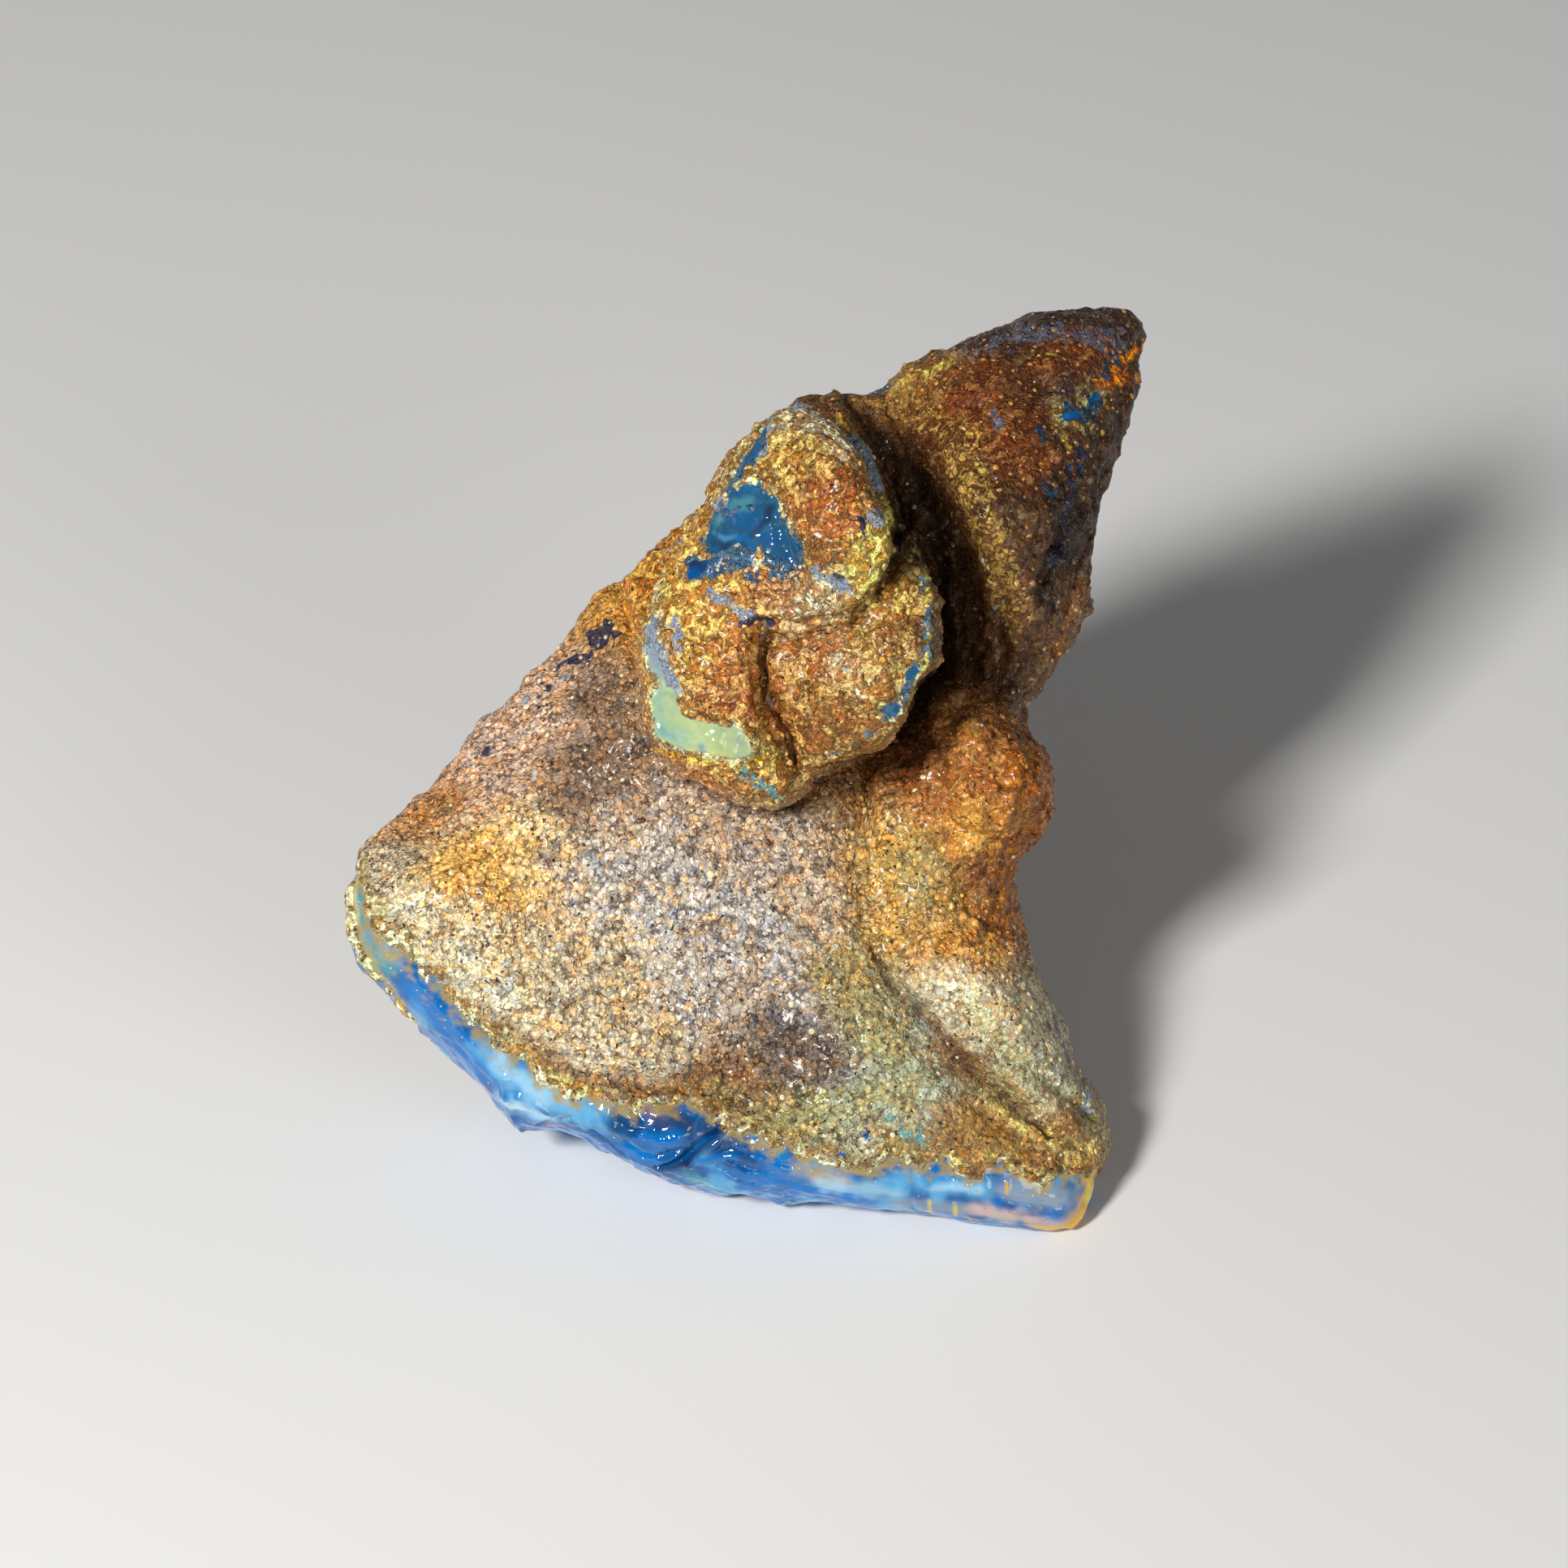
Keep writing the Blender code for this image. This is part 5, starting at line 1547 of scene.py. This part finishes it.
# The larger ones that the picture shows singly: radius in millimetres, colour and picture place.
SINGLES = [
    (0.34, GOLD, (1201, 1139)),
    (0.28, STRAW, (1172, 1117)),
    (0.24, GOLD, (1184, 1104)),
    (0.28, PALE_GOLD, (1064, 1000)),
    (0.24, STRAW, (1060, 984)),
    (0.26, GOLD, (1148, 1084)),
    (0.22, ORANGE, (1230, 1150)),
    (0.24, PALE_CREAM, (1066, 858)),
    (0.30, PALE_CREAM, (1058, 852)),
    (0.26, STRAW, (1162, 1046)),
    (0.22, OCHRE, (1220, 716)),
    (0.24, GREY, (1212, 690)),
    (0.22, LILAC, (1226, 748)),
    (0.34, PALE_CREAM, (755, 1093)),
    (0.32, PALE_CREAM, (876, 1077)),
    (0.26, PALE_OLIVE, (753, 1128)),
    (0.26, PALE_CREAM, (588, 1112)),
    (0.30, PALE_CREAM, (474, 1142)),
    (0.24, CREAM, (636, 1190)),
    (0.24, GREY_BLUE, (764, 1062)),
    (0.24, PALE_CREAM, (700, 1146)),
    (0.22, PALE_GOLD, (966, 1130)),
]
bumpy = (1.0 - ramp(0.2, 0.6, sandiness(crust_points, crust_facing))) * ramp(0.4, 0.8, depth)
bumpy *= ramp(0.3, 0.6, crust_points[:, 2] / MM) * (0.15 + 0.85 * shown)
bead_gap = np.full(len(crust_points), 0.55)
spots, ways, gap = throw_darts(crust, bumpy, bead_gap, 7000, seed=81)
draw = np.random.default_rng(82)
radii = np.minimum(0.15 * np.exp(draw.normal(0.0, 0.35, len(spots))), 0.34) * MM
own = crust_colour(spots, ways @ OUT_OF_FACE) * draw.uniform(0.9, 1.8, len(spots))[:, None]
golden = np.array(GOLDEN)[draw.integers(0, len(GOLDEN), len(spots))]
share = (0.5 * draw.random(len(spots)) * ramp(0.03, 0.2, own[:, 0]))[:, None]
single_radii, single_colours, marks = zip(*SINGLES)
spots = np.vstack([spots, on_surface(marks, tree_of(crust))])
ways = np.vstack([ways, np.tile(OUT_OF_FACE, (len(SINGLES), 1))])
radii = np.concatenate([radii, np.array(single_radii) * MM])
colours = np.vstack([own + (golden - own) * share, np.array(single_colours)])
beads = strew("resin_beads", spots, ways, radii, colours, 0.45, 83)
print(len(spots), "beads")

resin_depth = crust_depth(resin_points)
resin_facing = normals_of(resin) @ OUT_OF_FACE
on_rim = ramp(1050, 1100, picture_places(resin_points)[:, 1]) * ramp(0.3, 1.0, resin_points[:, 2] / MM)
on_rim *= ramp(-0.1, 0.2, resin_facing) * (resin_depth < -0.25)
wide_gap = np.full(len(resin_points), 0.5)
near_crust = on_rim * (0.15 + 0.85 * ramp(-1.6, -0.4, resin_depth))
spots, ways, gap = throw_darts(resin, near_crust, wide_gap, 420, seed=84)
draw = np.random.default_rng(85)
kinds = np.array([RUST, PALE_CREAM, STRAW, BURNT])[draw.integers(0, 4, len(spots))]
radii = draw.uniform(0.03, 0.08, len(spots)) * MM
specks = strew("rim_specks", spots, ways, radii, kinds, 0.4, 86)
spots, ways, gap = throw_darts(resin, on_rim, wide_gap, 500, seed=87)
draw = np.random.default_rng(88)
kinds = np.array([NEAR_BLACK, BURNT, ICE])[draw.integers(0, 3, len(spots))]
radii = draw.uniform(0.06, 0.16, len(spots)) * MM
sealed = strew("sealed_crumbs", spots, ways, radii, kinds, 5.0, 89)
print(len(specks.data.polygons) + len(sealed.data.polygons), "faces of specks and crumbs")

# %% Sand material
quartz = Material("sand_grains")
own = quartz.attribute("ground")
speck = quartz.clouds(0.12, 2.0)
colour = quartz.tinted(own, quartz.mix(speck.ramp(0.3, 0.7), (0.7, 0.66, 0.6), (1.15, 1.15, 1.15)))
quartz.finish(
    Base_Color=colour,
    Roughness=0.28 + speck * 0.2,
    Coat_Weight=0.3,
    Coat_Roughness=0.12,
    Normal=quartz.bump(speck, 0.02),
)
for sand in [*sands, specks, sealed]:
    wear(sand, quartz)

gloss = Material("resin_beads")
own = gloss.attribute("ground")
speck = gloss.clouds(0.15, 2.0)
gloss.finish(
    Base_Color=gloss.tinted(own, gloss.mix(speck.ramp(0.3, 0.7), (0.6, 0.5, 0.4), (1.3, 1.3, 1.2))),
    Roughness=0.22 + speck * 0.2,
    Coat_Weight=0.4,
    Coat_Roughness=0.10,
    Normal=gloss.bump(speck, 0.02),
)
wear(beads, gloss)

# %% [markdown]
# ## Everything rides on the one body
# The lump has no joints, so all pieces ride on the root body, and the CAD solid is hidden behind them.

# %% Hand the pieces over
pieces = [resin, crust, beads, specks, sealed, *sands]
for piece in pieces:
    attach(piece, "root")
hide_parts("blue_amber")
bpy.data.objects.remove(skin)

# %% [markdown]
# ## The studio
# A plain pale floor, one soft lamp high at the front left, which draws the relief and throws the deep
# hollow into shade, a broad weak one at the right, and a faint even sky.

# %% Floor, lamps and sky
bpy.ops.object.select_all(action="DESELECT")
bpy.ops.mesh.primitive_plane_add(size=6.0, location=(0.0, 0.0, -0.02 * MM))
floor = bpy.context.object
floor.name = "floor"
pale = Material("pale_floor")
pale.finish(Base_Color=(0.72, 0.71, 0.69), Roughness=0.6)
floor.data.materials.append(pale.made)


def lamp(name, toward, away, size, power, colour=(1.0, 1.0, 1.0)):
    """A square lamp that looks at the lump from this direction."""
    middle = Vector((0.0, 0.0, 0.02))
    aim = Vector(toward).normalized()
    bpy.ops.object.light_add(type="AREA", location=middle + aim * away)
    made = bpy.context.object
    made.name = name
    made.data.size = size
    made.data.energy = power
    made.data.color = colour
    made.rotation_euler = aim.to_track_quat("Z", "Y").to_euler()


lamp("key_lamp", (-0.50, -0.64, 0.69), 0.6, 0.11, 4.6)
lamp("fill_lamp", (0.7, -0.8, 0.4), 0.9, 0.4, 2.1)
sky = bpy.data.worlds.new("sky")
sky.use_nodes = True
sky.node_tree.nodes["Background"].inputs["Color"].default_value = (0.86, 0.88, 0.92, 1.0)
sky.node_tree.nodes["Background"].inputs["Strength"].default_value = 0.10
scene.world = sky
scene.view_settings.view_transform = "Standard"
